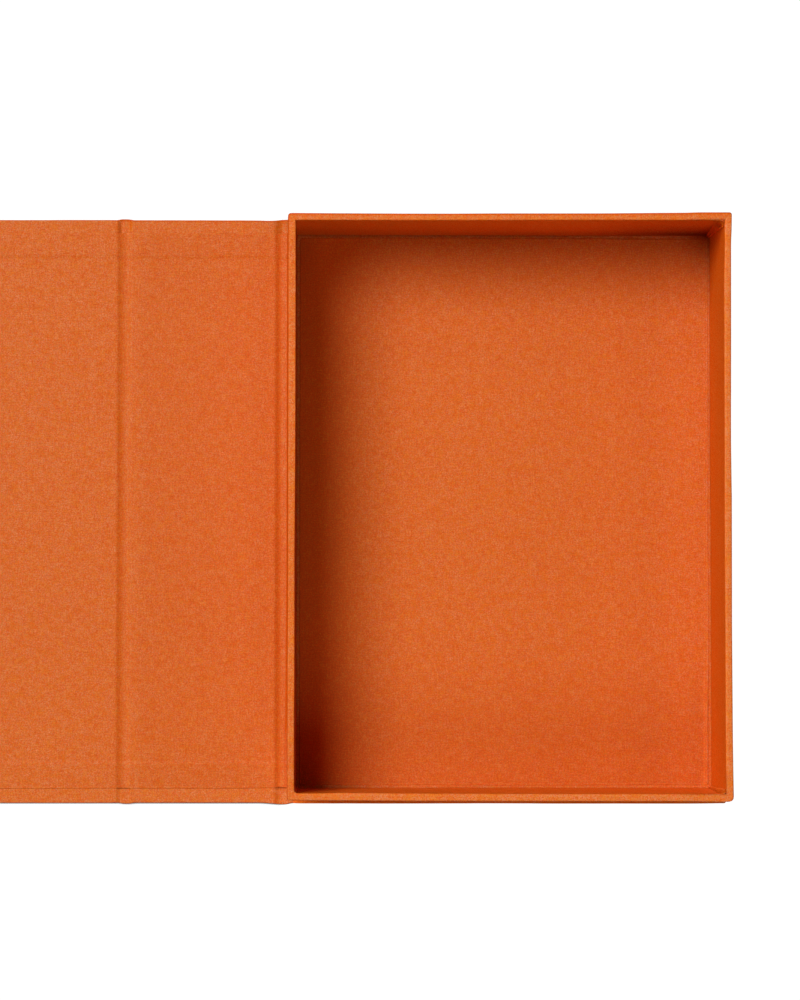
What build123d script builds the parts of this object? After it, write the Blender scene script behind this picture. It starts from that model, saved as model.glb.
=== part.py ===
from build123d import *
import os

# Clamshell book box: one deep tray on the back board of a cloth-covered book
# case, with a flat spine and a flat cover that fold up and over it.
# Millimetres. Origin: on the underside, below the centre of the tray.
# +X to the fore edge, +Y to the head, +Z up. Modelled lying open and flat.

os.makedirs("parts", exist_ok=True)

# ---------------------------------------------------------------- dimensions
board = 3.0  # greyboard of the case and of the tray
cloth = 0.35  # book cloth
card = 0.35  # infill that levels the tray floor inside the flanges, as thick as the cloth

inner_x = 240.0  # clear inside width of the tray
inner_y = 320.0  # clear inside length of the tray
rim_z = 87.5  # top of the tray walls above the table

square = 5.3  # case boards beyond the tray at head, tail and fore edge
spine_w = 83.2  # spine board, between its two joints
base_gap = 8.8  # joint between back board and spine board
cover_gap = 8.0  # joint between spine board and cover board
fold_z = 0.35  # height of the fold lines: between joint cloth and joint lining

turn_in = 22.0  # case cloth folded over onto the inside of the boards
lining_in = 8.0  # lining cut back from the edge of the case
lap = 0.5  # where a lining steps up onto the turn-in
under_tray = 15.0  # lining of the base joint, pasted down under the tray
flange = 15.0  # wall cloth pasted onto the tray floor, and under it
panel_in = 1.7  # floor lining short of the walls

case_corner = 1.5  # plan radius of a covered case corner
tray_corner = 1.2  # plan radius of a covered tray corner
edge = 0.5  # rounding of the cloth over a board edge

# ------------------------------------------------------------------- derived
wall = board + 2 * cloth
out_x = inner_x / 2 + wall
out_y = inner_y / 2 + wall
case_y = out_y + square
z1 = cloth  # underside of the case boards
z2 = z1 + board  # top of the case boards
z3 = z2 + cloth  # top of the turn-ins: the tray stands here
z4 = z3 + cloth  # top of a lining where it lies on a turn-in

back_x1, back_x2 = -out_x, out_x + square
spine_x2 = back_x1 - base_gap
spine_x1 = spine_x2 - spine_w
cover_x2 = spine_x1 - cover_gap
fold_1 = back_x1 - base_gap / 2
fold_2 = spine_x1 - cover_gap / 2
cover_x1 = fold_2 - (back_x2 - fold_1)  # closed, the cover ends over the back board

turn_y = case_y - turn_in  # inner ends of the head and tail turn-ins
lining_y = case_y - lining_in

floor_z1 = z3 + cloth  # underside of the tray floor board
floor_z2 = floor_z1 + board
flange_z = floor_z2 + cloth
panel_x = inner_x / 2 - panel_in
panel_y = inner_y / 2 - panel_in
card_z = floor_z2
panel_z = flange_z + cloth

print("open size", back_x2 - cover_x1, 2 * case_y, rim_z)
print("fold lines x", fold_1, fold_2, "z", fold_z)
print("closed height", fold_z + (fold_1 - fold_2) + fold_z)
print("cover over rim", fold_z + (fold_1 - fold_2) - (z4 - fold_z) - rim_z)
print("floor lining top", panel_z, "clear depth", rim_z - panel_z)

# ------------------------------------------------------------------ the case
# Back board: the tray is glued onto it.
with BuildPart() as back_board:
    with BuildSketch(Plane.XY.offset(z1)):
        with BuildLine():
            Polyline(
                (back_x1, -case_y + cloth),
                (back_x2 - cloth, -case_y + cloth),
                (back_x2 - cloth, case_y - cloth),
                (back_x1, case_y - cloth),
                close=True,
            )
        make_face()
    extrude(amount=board)
    fillet(
        back_board.edges().filter_by(Axis.Z).group_by(Axis.X)[-1],
        radius=case_corner - cloth,
    )
back_board.part.label = "back_board"
export_step(back_board.part, "parts/back_board.step")

# Spine board.
with BuildPart() as spine_board:
    with BuildSketch(Plane.XY.offset(z1)):
        with Locations(((spine_x1 + spine_x2) / 2, 0)):
            Rectangle(spine_w, 2 * (case_y - cloth))
    extrude(amount=board)
spine_board.part.label = "spine_board"
export_step(spine_board.part, "parts/spine_board.step")

# Cover board.
with BuildPart() as cover_board:
    with BuildSketch(Plane.XY.offset(z1)):
        with BuildLine():
            Polyline(
                (cover_x1 + cloth, -case_y + cloth),
                (cover_x2, -case_y + cloth),
                (cover_x2, case_y - cloth),
                (cover_x1 + cloth, case_y - cloth),
                close=True,
            )
        make_face()
    extrude(amount=board)
    fillet(
        cover_board.edges().filter_by(Axis.Z).group_by(Axis.X)[0],
        radius=case_corner - cloth,
    )
cover_board.part.label = "cover_board"
export_step(cover_board.part, "parts/cover_board.step")

# Cloth over the back board: under it, round its three free edges, and turned
# in over its top. It runs on into the base joint along the fourth.
with BuildPart() as back_cloth:
    with BuildSketch():
        with Locations(((back_x1 + back_x2) / 2, 0)):
            Rectangle(back_x2 - back_x1, 2 * case_y)
    extrude(amount=z3)
    fillet(
        back_cloth.edges().filter_by(Axis.Z).group_by(Axis.X)[-1], radius=case_corner
    )
    # the board's pocket, open towards the joint
    with BuildSketch(Plane.XY.offset(z1)) as back_pocket:
        with BuildLine():
            Polyline(
                (back_x1 - 1, -case_y + cloth),
                (back_x2 - cloth, -case_y + cloth),
                (back_x2 - cloth, case_y - cloth),
                (back_x1 - 1, case_y - cloth),
                close=True,
            )
        make_face()
        fillet(
            back_pocket.vertices().group_by(Axis.X)[-1], radius=case_corner - cloth
        )
    extrude(amount=board, mode=Mode.SUBTRACT)
    # between the turn-ins
    with BuildSketch(Plane.XY.offset(z2)):
        with BuildLine():
            Polyline(
                (back_x1 - 1, -turn_y),
                (back_x2 - turn_in, -turn_y),
                (back_x2 - turn_in, turn_y),
                (back_x1 - 1, turn_y),
                close=True,
            )
        make_face()
    extrude(amount=cloth, mode=Mode.SUBTRACT)
back_cloth.part.label = "back_cloth"
export_step(back_cloth.part, "parts/back_cloth.step")

# Cloth over the spine board: under it, round its head and tail, turned in.
with BuildPart() as spine_cloth:
    with BuildSketch(Plane.XZ.offset(-case_y)):
        with BuildLine():
            Polyline(
                (spine_x1, 0), (spine_x2, 0), (spine_x2, z3), (spine_x1, z3), close=True
            )
        make_face()
    extrude(amount=2 * case_y)
    with BuildSketch(Plane.XY.offset(z1)):
        with Locations(((spine_x1 + spine_x2) / 2, 0)):
            Rectangle(spine_w + 2, 2 * (case_y - cloth))
    extrude(amount=board, mode=Mode.SUBTRACT)
    with BuildSketch(Plane.XY.offset(z2)):
        with Locations(((spine_x1 + spine_x2) / 2, 0)):
            Rectangle(spine_w + 2, 2 * turn_y)
    extrude(amount=cloth, mode=Mode.SUBTRACT)
spine_cloth.part.label = "spine_cloth"
export_step(spine_cloth.part, "parts/spine_cloth.step")

# Cloth over the cover board, as on the back board.
with BuildPart() as cover_cloth:
    with BuildSketch():
        with Locations(((cover_x1 + cover_x2) / 2, 0)):
            Rectangle(cover_x2 - cover_x1, 2 * case_y)
    extrude(amount=z3)
    fillet(
        cover_cloth.edges().filter_by(Axis.Z).group_by(Axis.X)[0], radius=case_corner
    )
    with BuildSketch(Plane.XY.offset(z1)) as cover_pocket:
        with BuildLine():
            Polyline(
                (cover_x1 + cloth, -case_y + cloth),
                (cover_x2 + 1, -case_y + cloth),
                (cover_x2 + 1, case_y - cloth),
                (cover_x1 + cloth, case_y - cloth),
                close=True,
            )
        make_face()
        fillet(
            cover_pocket.vertices().group_by(Axis.X)[0], radius=case_corner - cloth
        )
    extrude(amount=board, mode=Mode.SUBTRACT)
    with BuildSketch(Plane.XY.offset(z2)):
        with BuildLine():
            Polyline(
                (cover_x1 + turn_in, -turn_y),
                (cover_x2 + 1, -turn_y),
                (cover_x2 + 1, turn_y),
                (cover_x1 + turn_in, turn_y),
                close=True,
            )
        make_face()
    extrude(amount=cloth, mode=Mode.SUBTRACT)
cover_cloth.part.label = "cover_cloth"
export_step(cover_cloth.part, "parts/cover_cloth.step")

# --------------------------------------------------------------- the linings
# Spine lining: flat on the board, stepping up onto the turn-ins.
with BuildPart() as spine_lining:
    with BuildSketch(Plane.XY.offset(z2)):
        with Locations(((spine_x1 + spine_x2) / 2, 0)):
            Rectangle(spine_w, 2 * turn_y)
    extrude(amount=cloth)
    with BuildSketch(Plane.XY.offset(z3)):
        with Locations(((spine_x1 + spine_x2) / 2, 0)):
            Rectangle(spine_w, 2 * lining_y)
            Rectangle(spine_w, 2 * (turn_y - lap), mode=Mode.SUBTRACT)
    extrude(amount=cloth)
spine_lining.part.label = "spine_lining"
export_step(spine_lining.part, "parts/spine_lining.step")

# Cover lining: the same, with a step along the fore edge as well.
with BuildPart() as cover_lining:
    with BuildSketch(Plane.XY.offset(z2)):
        with BuildLine():
            Polyline(
                (cover_x1 + turn_in, -turn_y),
                (cover_x2, -turn_y),
                (cover_x2, turn_y),
                (cover_x1 + turn_in, turn_y),
                close=True,
            )
        make_face()
    extrude(amount=cloth)
    with BuildSketch(Plane.XY.offset(z3)):
        with BuildLine():
            Polyline(
                (cover_x1 + lining_in, -lining_y),
                (cover_x2, -lining_y),
                (cover_x2, lining_y),
                (cover_x1 + lining_in, lining_y),
                close=True,
            )
        make_face()
        with BuildLine():
            Polyline(
                (cover_x1 + turn_in + lap, -turn_y + lap),
                (cover_x2 + 1, -turn_y + lap),
                (cover_x2 + 1, turn_y - lap),
                (cover_x1 + turn_in + lap, turn_y - lap),
                close=True,
            )
        make_face(mode=Mode.SUBTRACT)
    extrude(amount=cloth)
cover_lining.part.label = "cover_lining"
export_step(cover_lining.part, "parts/cover_lining.step")

# ---------------------------------------------------------------- the joints
# Joint cloth: the case cloth between two boards, and its turn-in folded back
# on itself, pressed down the edges of the boards.
with BuildPart() as base_joint_cloth:
    with BuildSketch():
        with Locations((fold_1, 0)):
            Rectangle(base_gap, 2 * case_y)
    extrude(amount=cloth)
    with BuildSketch(Plane.XZ.offset(-case_y)):
        with BuildLine():
            Polyline(
                (spine_x2, z1),
                (back_x1, z1),
                (back_x1, z3),
                (back_x1 - cloth, z3),
                (back_x1 - cloth, z1 + cloth),
                (spine_x2 + cloth, z1 + cloth),
                (spine_x2 + cloth, z3),
                (spine_x2, z3),
                close=True,
            )
        make_face()
    extrude(amount=turn_in)
    mirror(about=Plane.XZ)
base_joint_cloth.part.label = "base_joint_cloth"
export_step(base_joint_cloth.part, "parts/base_joint_cloth.step")

with BuildPart() as cover_joint_cloth:
    with BuildSketch():
        with Locations((fold_2, 0)):
            Rectangle(cover_gap, 2 * case_y)
    extrude(amount=cloth)
    with BuildSketch(Plane.XZ.offset(-case_y)):
        with BuildLine():
            Polyline(
                (cover_x2, z1),
                (spine_x1, z1),
                (spine_x1, z3),
                (spine_x1 - cloth, z3),
                (spine_x1 - cloth, z1 + cloth),
                (cover_x2 + cloth, z1 + cloth),
                (cover_x2 + cloth, z3),
                (cover_x2, z3),
                close=True,
            )
        make_face()
    extrude(amount=turn_in)
    mirror(about=Plane.XZ)
cover_joint_cloth.part.label = "cover_joint_cloth"
export_step(cover_joint_cloth.part, "parts/cover_joint_cloth.step")

# Joint linings: pasted into the groove. Between the turn-ins they lie against
# the joint cloth and the board edges; over the turn-ins, one cloth further in.
with BuildPart() as base_joint_lining:
    with BuildSketch(Plane.XZ.offset(-turn_y)):
        with BuildLine():
            Polyline(
                (spine_x2, z1),
                (back_x1, z1),
                (back_x1, z2),
                (back_x1 + under_tray, z2),
                (back_x1 + under_tray, z3),
                (back_x1 - cloth, z3),
                (back_x1 - cloth, z1 + cloth),
                (spine_x2 + cloth, z1 + cloth),
                (spine_x2 + cloth, z3),
                (spine_x2, z3),
                close=True,
            )
        make_face()
    extrude(amount=2 * turn_y)
    with BuildSketch(Plane.XZ.offset(-lining_y)):
        with BuildLine():
            Polyline(
                (spine_x2 + cloth, z1 + cloth),
                (back_x1 - cloth, z1 + cloth),
                (back_x1 - cloth, z3),
                (back_x1, z3),
                (back_x1, z4),
                (back_x1 - 2 * cloth, z4),
                (back_x1 - 2 * cloth, z1 + 2 * cloth),
                (spine_x2 + 2 * cloth, z1 + 2 * cloth),
                (spine_x2 + 2 * cloth, z4),
                (spine_x2, z4),
                (spine_x2, z3),
                (spine_x2 + cloth, z3),
                close=True,
            )
        make_face()
    extrude(amount=lining_y - turn_y + lap)
    mirror(about=Plane.XZ)
base_joint_lining.part.label = "base_joint_lining"
export_step(base_joint_lining.part, "parts/base_joint_lining.step")

with BuildPart() as cover_joint_lining:
    with BuildSketch(Plane.XZ.offset(-turn_y)):
        with BuildLine():
            Polyline(
                (cover_x2, z1),
                (spine_x1, z1),
                (spine_x1, z3),
                (spine_x1 - cloth, z3),
                (spine_x1 - cloth, z1 + cloth),
                (cover_x2 + cloth, z1 + cloth),
                (cover_x2 + cloth, z3),
                (cover_x2, z3),
                close=True,
            )
        make_face()
    extrude(amount=2 * turn_y)
    with BuildSketch(Plane.XZ.offset(-lining_y)):
        with BuildLine():
            Polyline(
                (cover_x2 + cloth, z1 + cloth),
                (spine_x1 - cloth, z1 + cloth),
                (spine_x1 - cloth, z3),
                (spine_x1, z3),
                (spine_x1, z4),
                (spine_x1 - 2 * cloth, z4),
                (spine_x1 - 2 * cloth, z1 + 2 * cloth),
                (cover_x2 + 2 * cloth, z1 + 2 * cloth),
                (cover_x2 + 2 * cloth, z4),
                (cover_x2, z4),
                (cover_x2, z3),
                (cover_x2 + cloth, z3),
                close=True,
            )
        make_face()
    extrude(amount=lining_y - turn_y + lap)
    mirror(about=Plane.XZ)
cover_joint_lining.part.label = "cover_joint_lining"
export_step(cover_joint_lining.part, "parts/cover_joint_lining.step")

# ------------------------------------------------------------------ the tray
# Tray floor board, with the four walls glued round its edges.
with BuildPart() as tray_floor_board:
    with BuildSketch(Plane.XY.offset(floor_z1)):
        Rectangle(inner_x + 2 * cloth, inner_y + 2 * cloth)
    extrude(amount=board)
tray_floor_board.part.label = "tray_floor_board"
export_step(tray_floor_board.part, "parts/tray_floor_board.step")

# Head wall, the full width of the tray.
with BuildPart() as tray_head_wall:
    with BuildSketch(Plane.XY.offset(floor_z1)):
        with Locations((0, inner_y / 2 + cloth + board / 2)):
            Rectangle(2 * (out_x - cloth), board)
    extrude(amount=rim_z - cloth - floor_z1)
    fillet(
        tray_head_wall.edges().filter_by(Axis.Z).group_by(Axis.Y)[-1],
        radius=tray_corner - cloth,
    )
tray_head_wall.part.label = "tray_head_wall"
export_step(tray_head_wall.part, "parts/tray_head_wall.step")

# Tail wall.
with BuildPart() as tray_tail_wall:
    with BuildSketch(Plane.XY.offset(floor_z1)):
        with Locations((0, -inner_y / 2 - cloth - board / 2)):
            Rectangle(2 * (out_x - cloth), board)
    extrude(amount=rim_z - cloth - floor_z1)
    fillet(
        tray_tail_wall.edges().filter_by(Axis.Z).group_by(Axis.Y)[0],
        radius=tray_corner - cloth,
    )
tray_tail_wall.part.label = "tray_tail_wall"
export_step(tray_tail_wall.part, "parts/tray_tail_wall.step")

# Fore-edge wall, between the head and tail walls.
with BuildPart() as tray_fore_edge_wall:
    with BuildSketch(Plane.XY.offset(floor_z1)):
        with Locations((inner_x / 2 + cloth + board / 2, 0)):
            Rectangle(board, inner_y + 2 * cloth)
    extrude(amount=rim_z - cloth - floor_z1)
tray_fore_edge_wall.part.label = "tray_fore_edge_wall"
export_step(tray_fore_edge_wall.part, "parts/tray_fore_edge_wall.step")

# Spine-side wall.
with BuildPart() as tray_spine_wall:
    with BuildSketch(Plane.XY.offset(floor_z1)):
        with Locations((-inner_x / 2 - cloth - board / 2, 0)):
            Rectangle(board, inner_y + 2 * cloth)
    extrude(amount=rim_z - cloth - floor_z1)
tray_spine_wall.part.label = "tray_spine_wall"
export_step(tray_spine_wall.part, "parts/tray_spine_wall.step")

# Tray wall cloth: one strip round the outside of the walls, over the rim and
# down the inside, with its lower edges pasted onto the floor and under it.
with BuildPart() as tray_wall_cloth:
    with BuildSketch(Plane.XY.offset(z3)):
        Rectangle(2 * out_x, 2 * out_y)
    extrude(amount=rim_z - z3)
    fillet(tray_wall_cloth.edges().filter_by(Axis.Z), radius=tray_corner)
    # the inside of the tray, down to the flange on the floor
    with BuildSketch(Plane.XY.offset(flange_z)):
        Rectangle(inner_x, inner_y)
    extrude(amount=rim_z - flange_z, mode=Mode.SUBTRACT)
    # the cloth is rounded over the board edges at the rim
    fillet(tray_wall_cloth.edges().group_by(Axis.Z)[-1], radius=edge)
    # the space of the walls
    with BuildSketch(Plane.XY.offset(floor_z1)) as wall_space:
        Rectangle(2 * (out_x - cloth), 2 * (out_y - cloth))
        fillet(wall_space.vertices(), radius=tray_corner - cloth)
        Rectangle(inner_x + 2 * cloth, inner_y + 2 * cloth, mode=Mode.SUBTRACT)
    extrude(amount=rim_z - cloth - floor_z1, mode=Mode.SUBTRACT)
    # the space of the floor board
    with BuildSketch(Plane.XY.offset(floor_z1)):
        Rectangle(inner_x + 2 * cloth, inner_y + 2 * cloth)
    extrude(amount=board, mode=Mode.SUBTRACT)
    # inside the flange on the floor, and inside the flange under it
    with BuildSketch(Plane.XY.offset(floor_z2)):
        Rectangle(inner_x - 2 * flange, inner_y - 2 * flange)
    extrude(amount=cloth, mode=Mode.SUBTRACT)
    with BuildSketch(Plane.XY.offset(z3)):
        Rectangle(2 * (out_x - flange), 2 * (out_y - flange))
    extrude(amount=cloth, mode=Mode.SUBTRACT)
tray_wall_cloth.part.label = "tray_wall_cloth"
export_step(tray_wall_cloth.part, "parts/tray_wall_cloth.step")

# Floor lining: a thin card fills the floor level between the flanges, and one
# sheet of the same cloth is pasted over it, cut a little short of the walls.
with BuildPart() as floor_card:
    with BuildSketch(Plane.XY.offset(card_z)):
        Rectangle(inner_x - 2 * flange, inner_y - 2 * flange)
    extrude(amount=card)
floor_card.part.label = "floor_card"
export_step(floor_card.part, "parts/floor_card.step")

with BuildPart() as floor_lining_cloth:
    with BuildSketch(Plane.XY.offset(flange_z)):
        Rectangle(2 * panel_x, 2 * panel_y)
    extrude(amount=cloth)
floor_lining_cloth.part.label = "floor_lining_cloth"
export_step(floor_lining_cloth.part, "parts/floor_lining_cloth.step")
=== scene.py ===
import math

import bpy
import numpy as np
from mathutils import Matrix, Vector


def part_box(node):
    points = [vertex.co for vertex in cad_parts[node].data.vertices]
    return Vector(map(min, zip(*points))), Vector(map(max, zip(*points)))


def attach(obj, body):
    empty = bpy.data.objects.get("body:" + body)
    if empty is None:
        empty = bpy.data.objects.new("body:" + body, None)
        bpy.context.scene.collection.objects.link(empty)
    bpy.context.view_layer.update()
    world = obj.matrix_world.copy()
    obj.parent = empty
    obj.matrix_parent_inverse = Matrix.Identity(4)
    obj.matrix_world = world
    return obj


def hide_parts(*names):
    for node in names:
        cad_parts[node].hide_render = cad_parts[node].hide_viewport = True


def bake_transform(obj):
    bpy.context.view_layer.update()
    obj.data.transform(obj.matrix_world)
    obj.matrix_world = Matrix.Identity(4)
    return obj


# Clamshell book box in orange book cloth. All the cloth is modelled here, over
# the CAD boards. Mesh code works in millimetres and is written out in metres.

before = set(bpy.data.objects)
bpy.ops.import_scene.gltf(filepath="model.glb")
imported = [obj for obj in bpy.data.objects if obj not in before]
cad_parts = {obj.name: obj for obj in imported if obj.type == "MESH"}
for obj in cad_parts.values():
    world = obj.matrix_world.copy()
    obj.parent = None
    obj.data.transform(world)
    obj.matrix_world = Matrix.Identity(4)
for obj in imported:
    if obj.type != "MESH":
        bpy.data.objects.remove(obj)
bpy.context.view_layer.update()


def node_box(name):
    lo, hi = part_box(name)
    return [round(c * 1000, 3) for c in lo], [round(c * 1000, 3) for c in hi]


# ------------------------------------------------------------ sizes from CAD
(cover_x1, tail_y, _), (cover_x2, head_y, top_z) = node_box("cover_cloth")
(spine_x1, _, _), (spine_x2, _, _) = node_box("spine_cloth")
(back_x1, _, _), (back_x2, _, _) = node_box("back_cloth")
(out_x1, out_y1, foot_z), (out_x2, out_y2, rim_z) = node_box("tray_wall_cloth")
(pan_x1, pan_y1, flange_z), (pan_x2, pan_y2, pan_z) = node_box("floor_lining_cloth")
(lin_x1, lin_y1, board_z), (_, lin_y2, _) = node_box("cover_lining")
CL = 0.35  # cloth thickness
WALL = 3.7  # covered wall thickness
TURN = 22.0  # turn-in
FOLD_1 = (back_x1 + spine_x2) / 2
FOLD_2 = (spine_x1 + cover_x2) / 2
RIDGE_HEAD, RIDGE_TAIL = head_y - 21.2, tail_y + 23.6  # inner ends of the turn-ins
LIN_HEAD, LIN_TAIL = head_y - 7.5, tail_y + 8.6  # cut edges of the linings
LIN_LEFT = cover_x1 + 8.0
RIDGE_LEFT = cover_x1 + 22.0
# where one cloth piece ends and the next begins, on the flat of the boards
SEAM_COVER = cover_x2 - 2.2
SEAM_SPINE_L = spine_x1 + 2.2
SEAM_SPINE_R = spine_x2 - 2.2
SEAM_BACK = back_x1 + 2.2


# -------------------------------------------------------------------- noise
def hashed(ix, iy, seed):
    n = (ix * 374761393 + iy * 668265263 + seed * 974634777) & 0xFFFFFFFF
    n = ((n ^ (n >> 13)) * 1274126177) & 0xFFFFFFFF
    return ((n ^ (n >> 16)) & 0xFFFF) / 32767.5 - 1.0


def wave(u, v, size, seed=0):
    """Smooth noise from -1 to 1 with features of that size, in mm."""
    u, v = np.broadcast_arrays(np.asarray(u, float) / size, np.asarray(v, float) / size)
    iu, iv = np.floor(u).astype(np.int64), np.floor(v).astype(np.int64)
    fu, fv = u - iu, v - iv
    fu, fv = fu**3 * (fu * (6 * fu - 15) + 10), fv**3 * (fv * (6 * fv - 15) + 10)
    a, b = hashed(iu, iv, seed), hashed(iu + 1, iv, seed)
    c, d = hashed(iu, iv + 1, seed), hashed(iu + 1, iv + 1, seed)
    return (a * (1 - fu) + b * fu) * (1 - fv) + (c * (1 - fu) + d * fu) * fv


def smooth(t):
    t = np.clip(t, 0.0, 1.0)
    return t * t * (3 - 2 * t)


def bump(x, centre, half):
    """1 at centre, 0 from half away, with a rounded top."""
    return 1 - smooth(np.abs((np.asarray(x, float) - centre) / half))


def undulate(x, y, seed):
    """How far pasted cloth stands off a true plane, in mm."""
    return (
        0.030 * wave(x, y, 46.0, seed)
        + 0.016 * wave(x, y, 17.0, seed + 1)
        + 0.007 * wave(x, y, 6.0, seed + 2)
    )


# --------------------------------------------------------------- mesh making
class Cloth:
    """The outer faces of one cloth, in mm, with weave coordinates and tones."""

    def __init__(self):
        self.co, self.uv, self.tone, self.quads = [], [], [], []
        self.count = 0

    def grid(self, P, UV, T=None, flip=False, keep=None, K=0.0):
        P = np.asarray(P, float)
        n, m = P.shape[:2]
        UV = np.broadcast_to(np.asarray(UV, float), (n, m, 2))
        T = np.zeros((n, m)) if T is None else np.broadcast_to(T, (n, m))
        ids = np.arange(n * m).reshape(n, m) + self.count
        q = np.stack([ids[:-1, :-1], ids[1:, :-1], ids[1:, 1:], ids[:-1, 1:]], -1)
        u = np.stack([UV[:-1, :-1], UV[1:, :-1], UV[1:, 1:], UV[:-1, 1:]], -2)
        if keep is not None:
            q, u = q[keep], u[keep]
        q, u = q.reshape(-1, 4), u.reshape(-1, 4, 2)
        if flip:
            q, u = q[:, ::-1], u[:, ::-1]
        self.co.append(P.reshape(-1, 3))
        self.tone.append(np.stack([np.asarray(T, float), np.broadcast_to(K, (n, m))], -1).reshape(-1, 2))
        self.quads.append(q)
        self.uv.append(u)
        self.count += n * m

    def solid(self, thickness, shift=None):
        """Merges the grids and gives them a thickness inwards. Returns verts, faces, uvs, tones and sharp edges."""
        co = np.concatenate(self.co)
        tone = np.concatenate(self.tone)
        quads = np.concatenate(self.quads)
        uv = np.concatenate(self.uv)
        keys = np.round(co / 0.002).astype(np.int64)
        _, first, inverse = np.unique(
            keys, axis=0, return_index=True, return_inverse=True
        )
        inverse = inverse.reshape(-1)
        quads = inverse[quads]
        co, tone = co[first], tone[first]
        faces, uvs = [], []
        for f, t in zip(quads.tolist(), uv.tolist()):
            g, s = [], []
            for k in range(4):
                if f[k] != f[k - 1]:
                    g.append(f[k])
                    s.append(t[k])
            if len(g) >= 3 and len(set(g)) == len(g):
                faces.append(g)
                uvs.append(s)
        used = np.unique(np.concatenate([np.array(f) for f in faces]))
        remap = -np.ones(len(co), np.int64)
        remap[used] = np.arange(len(used))
        co, tone = co[used], tone[used]
        faces = [[int(remap[i]) for i in f] for f in faces]
        if shift is not None:
            co = shift(co)
        # face and vertex normals
        fn = np.zeros((len(faces), 3))
        vn = np.zeros_like(co)
        for k, f in enumerate(faces):
            a = co[f]
            nrm = np.cross(a[1] - a[0], a[2] - a[0])
            if len(f) == 4:
                nrm = nrm + np.cross(a[2] - a[0], a[3] - a[0])
            fn[k] = nrm
            for i in f:
                vn[i] += nrm
        fn /= np.maximum(np.linalg.norm(fn, axis=1), 1e-12)[:, None]
        vn /= np.maximum(np.linalg.norm(vn, axis=1), 1e-12)[:, None]
        edge_faces = {}
        for k, f in enumerate(faces):
            for i in range(len(f)):
                a, b = f[i], f[(i + 1) % len(f)]
                edge_faces.setdefault((min(a, b), max(a, b)), []).append((k, a, b, i))
        dots = np.zeros(len(co))
        hits = np.zeros(len(co))
        for k, f in enumerate(faces):
            for i in f:
                dots[i] += vn[i] @ fn[k]
                hits[i] += 1
        even = 1 / np.clip(dots / np.maximum(hits, 1), 0.6, 1)
        inner = co - vn * (thickness * even)[:, None]
        n = len(co)
        sharp = []
        out_faces, out_uvs = list(faces), list(uvs)
        for f, s in zip(faces, uvs):
            out_faces.append([i + n for i in reversed(f)])
            out_uvs.append(list(reversed(s)))
        for (p, q), sides in edge_faces.items():
            if len(sides) == 1:
                k, a, b, i = sides[0]
                ta, tb = uvs[k][i], uvs[k][(i + 1) % len(faces[k])]
                out_faces.append([b, a, a + n, b + n])
                out_uvs.append([tb, ta, ta, tb])
                sharp += [(p, q), (p + n, q + n)]
            elif len(sides) == 2:
                if fn[sides[0][0]] @ fn[sides[1][0]] < math.cos(math.radians(38)):
                    sharp += [(p, q), (p + n, q + n)]
        return (
            np.concatenate([co, inner]),
            out_faces,
            out_uvs,
            np.concatenate([tone, tone]),
            sharp,
        )


def make_piece(name, cloth, material, thickness=CL, shift=None, inside=None):
    co, faces, uvs, tone, sharp = cloth.solid(thickness, shift)
    volume = 0.0
    tri = []
    for f in faces:
        for k in range(1, len(f) - 1):
            tri.append((f[0], f[k], f[k + 1]))
    tri = np.array(tri)
    a, b, c = co[tri[:, 0]], co[tri[:, 1]], co[tri[:, 2]]
    volume = float((a * np.cross(b, c)).sum() / 6)
    if volume < 0:
        raise ValueError(f"{name} is inside out: {volume:.0f} mm3")
    me = bpy.data.meshes.new(name)
    me.from_pydata((co * 0.001).tolist(), [], faces)
    layer = me.uv_layers.new(name="weave")
    flat = np.array([p for s in uvs for p in s], np.float32)
    layer.data.foreach_set("uv", flat.ravel())
    me.update(calc_edges=True)
    me.polygons.foreach_set("use_smooth", np.ones(len(me.polygons), bool))
    at = me.attributes.new("tone", "FLOAT", "POINT")
    at.data.foreach_set("value", tone[:, 0].astype(np.float32))
    # the second attribute shifts the chalk, and gives painted shade its deeper colour
    at = me.attributes.new("chalk_and_shade", "FLOAT", "POINT")
    at.data.foreach_set("value", tone[:, 1].astype(np.float32))
    keys = {(min(a, b), max(a, b)) for a, b in sharp}
    flags = [
        (min(e.vertices[0], e.vertices[1]), max(e.vertices[0], e.vertices[1])) in keys
        for e in me.edges
    ]
    edge = me.attributes.get("sharp_edge") or me.attributes.new(
        "sharp_edge", "BOOLEAN", "EDGE"
    )
    edge.data.foreach_set("value", flags)
    me.materials.append(material)
    if inside is not None:
        other, test = inside
        me.materials.append(other)
        centres = np.array([co[f].mean(0) for f in faces])
        me.polygons.foreach_set("material_index", test(centres).astype(np.int32))
    me.update()
    ob = bpy.data.objects.new(name, me)
    bpy.context.scene.collection.objects.link(ob)
    return ob


def spaced(a, b, step, ends=()):
    """Values from a to b about step apart, with extra ones at those distances from both ends."""
    n = max(1, int(round(abs(b - a) / step)))
    vals = list(np.linspace(a, b, n + 1))
    s = 1 if b > a else -1
    near = [a + s * e for e in ends] + [b - s * e for e in ends]
    if ends:
        clear = max(ends) + step * 0.3
        vals = [v for v in vals if clear < abs(v - a) and clear < abs(v - b)]
        vals += [a, b] + near
    return np.array(sorted(vals, reverse=b < a))


def arc(cd, cz, r, a0, a1, n):
    """Points of a rounding in a profile: d is the distance in from the edge."""
    out = []
    for k in range(n + 1):
        a = math.radians(a0 + (a1 - a0) * k / n)
        out.append((cd + r * math.cos(a), cz + r * math.sin(a)))
    return out


def developed(profile, zero):
    """Length along the profile, 0 at point number zero."""
    p = np.array(profile, float)
    s = np.concatenate([[0], np.cumsum(np.linalg.norm(np.diff(p, axis=0), axis=1))])
    return s - s[zero]


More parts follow.
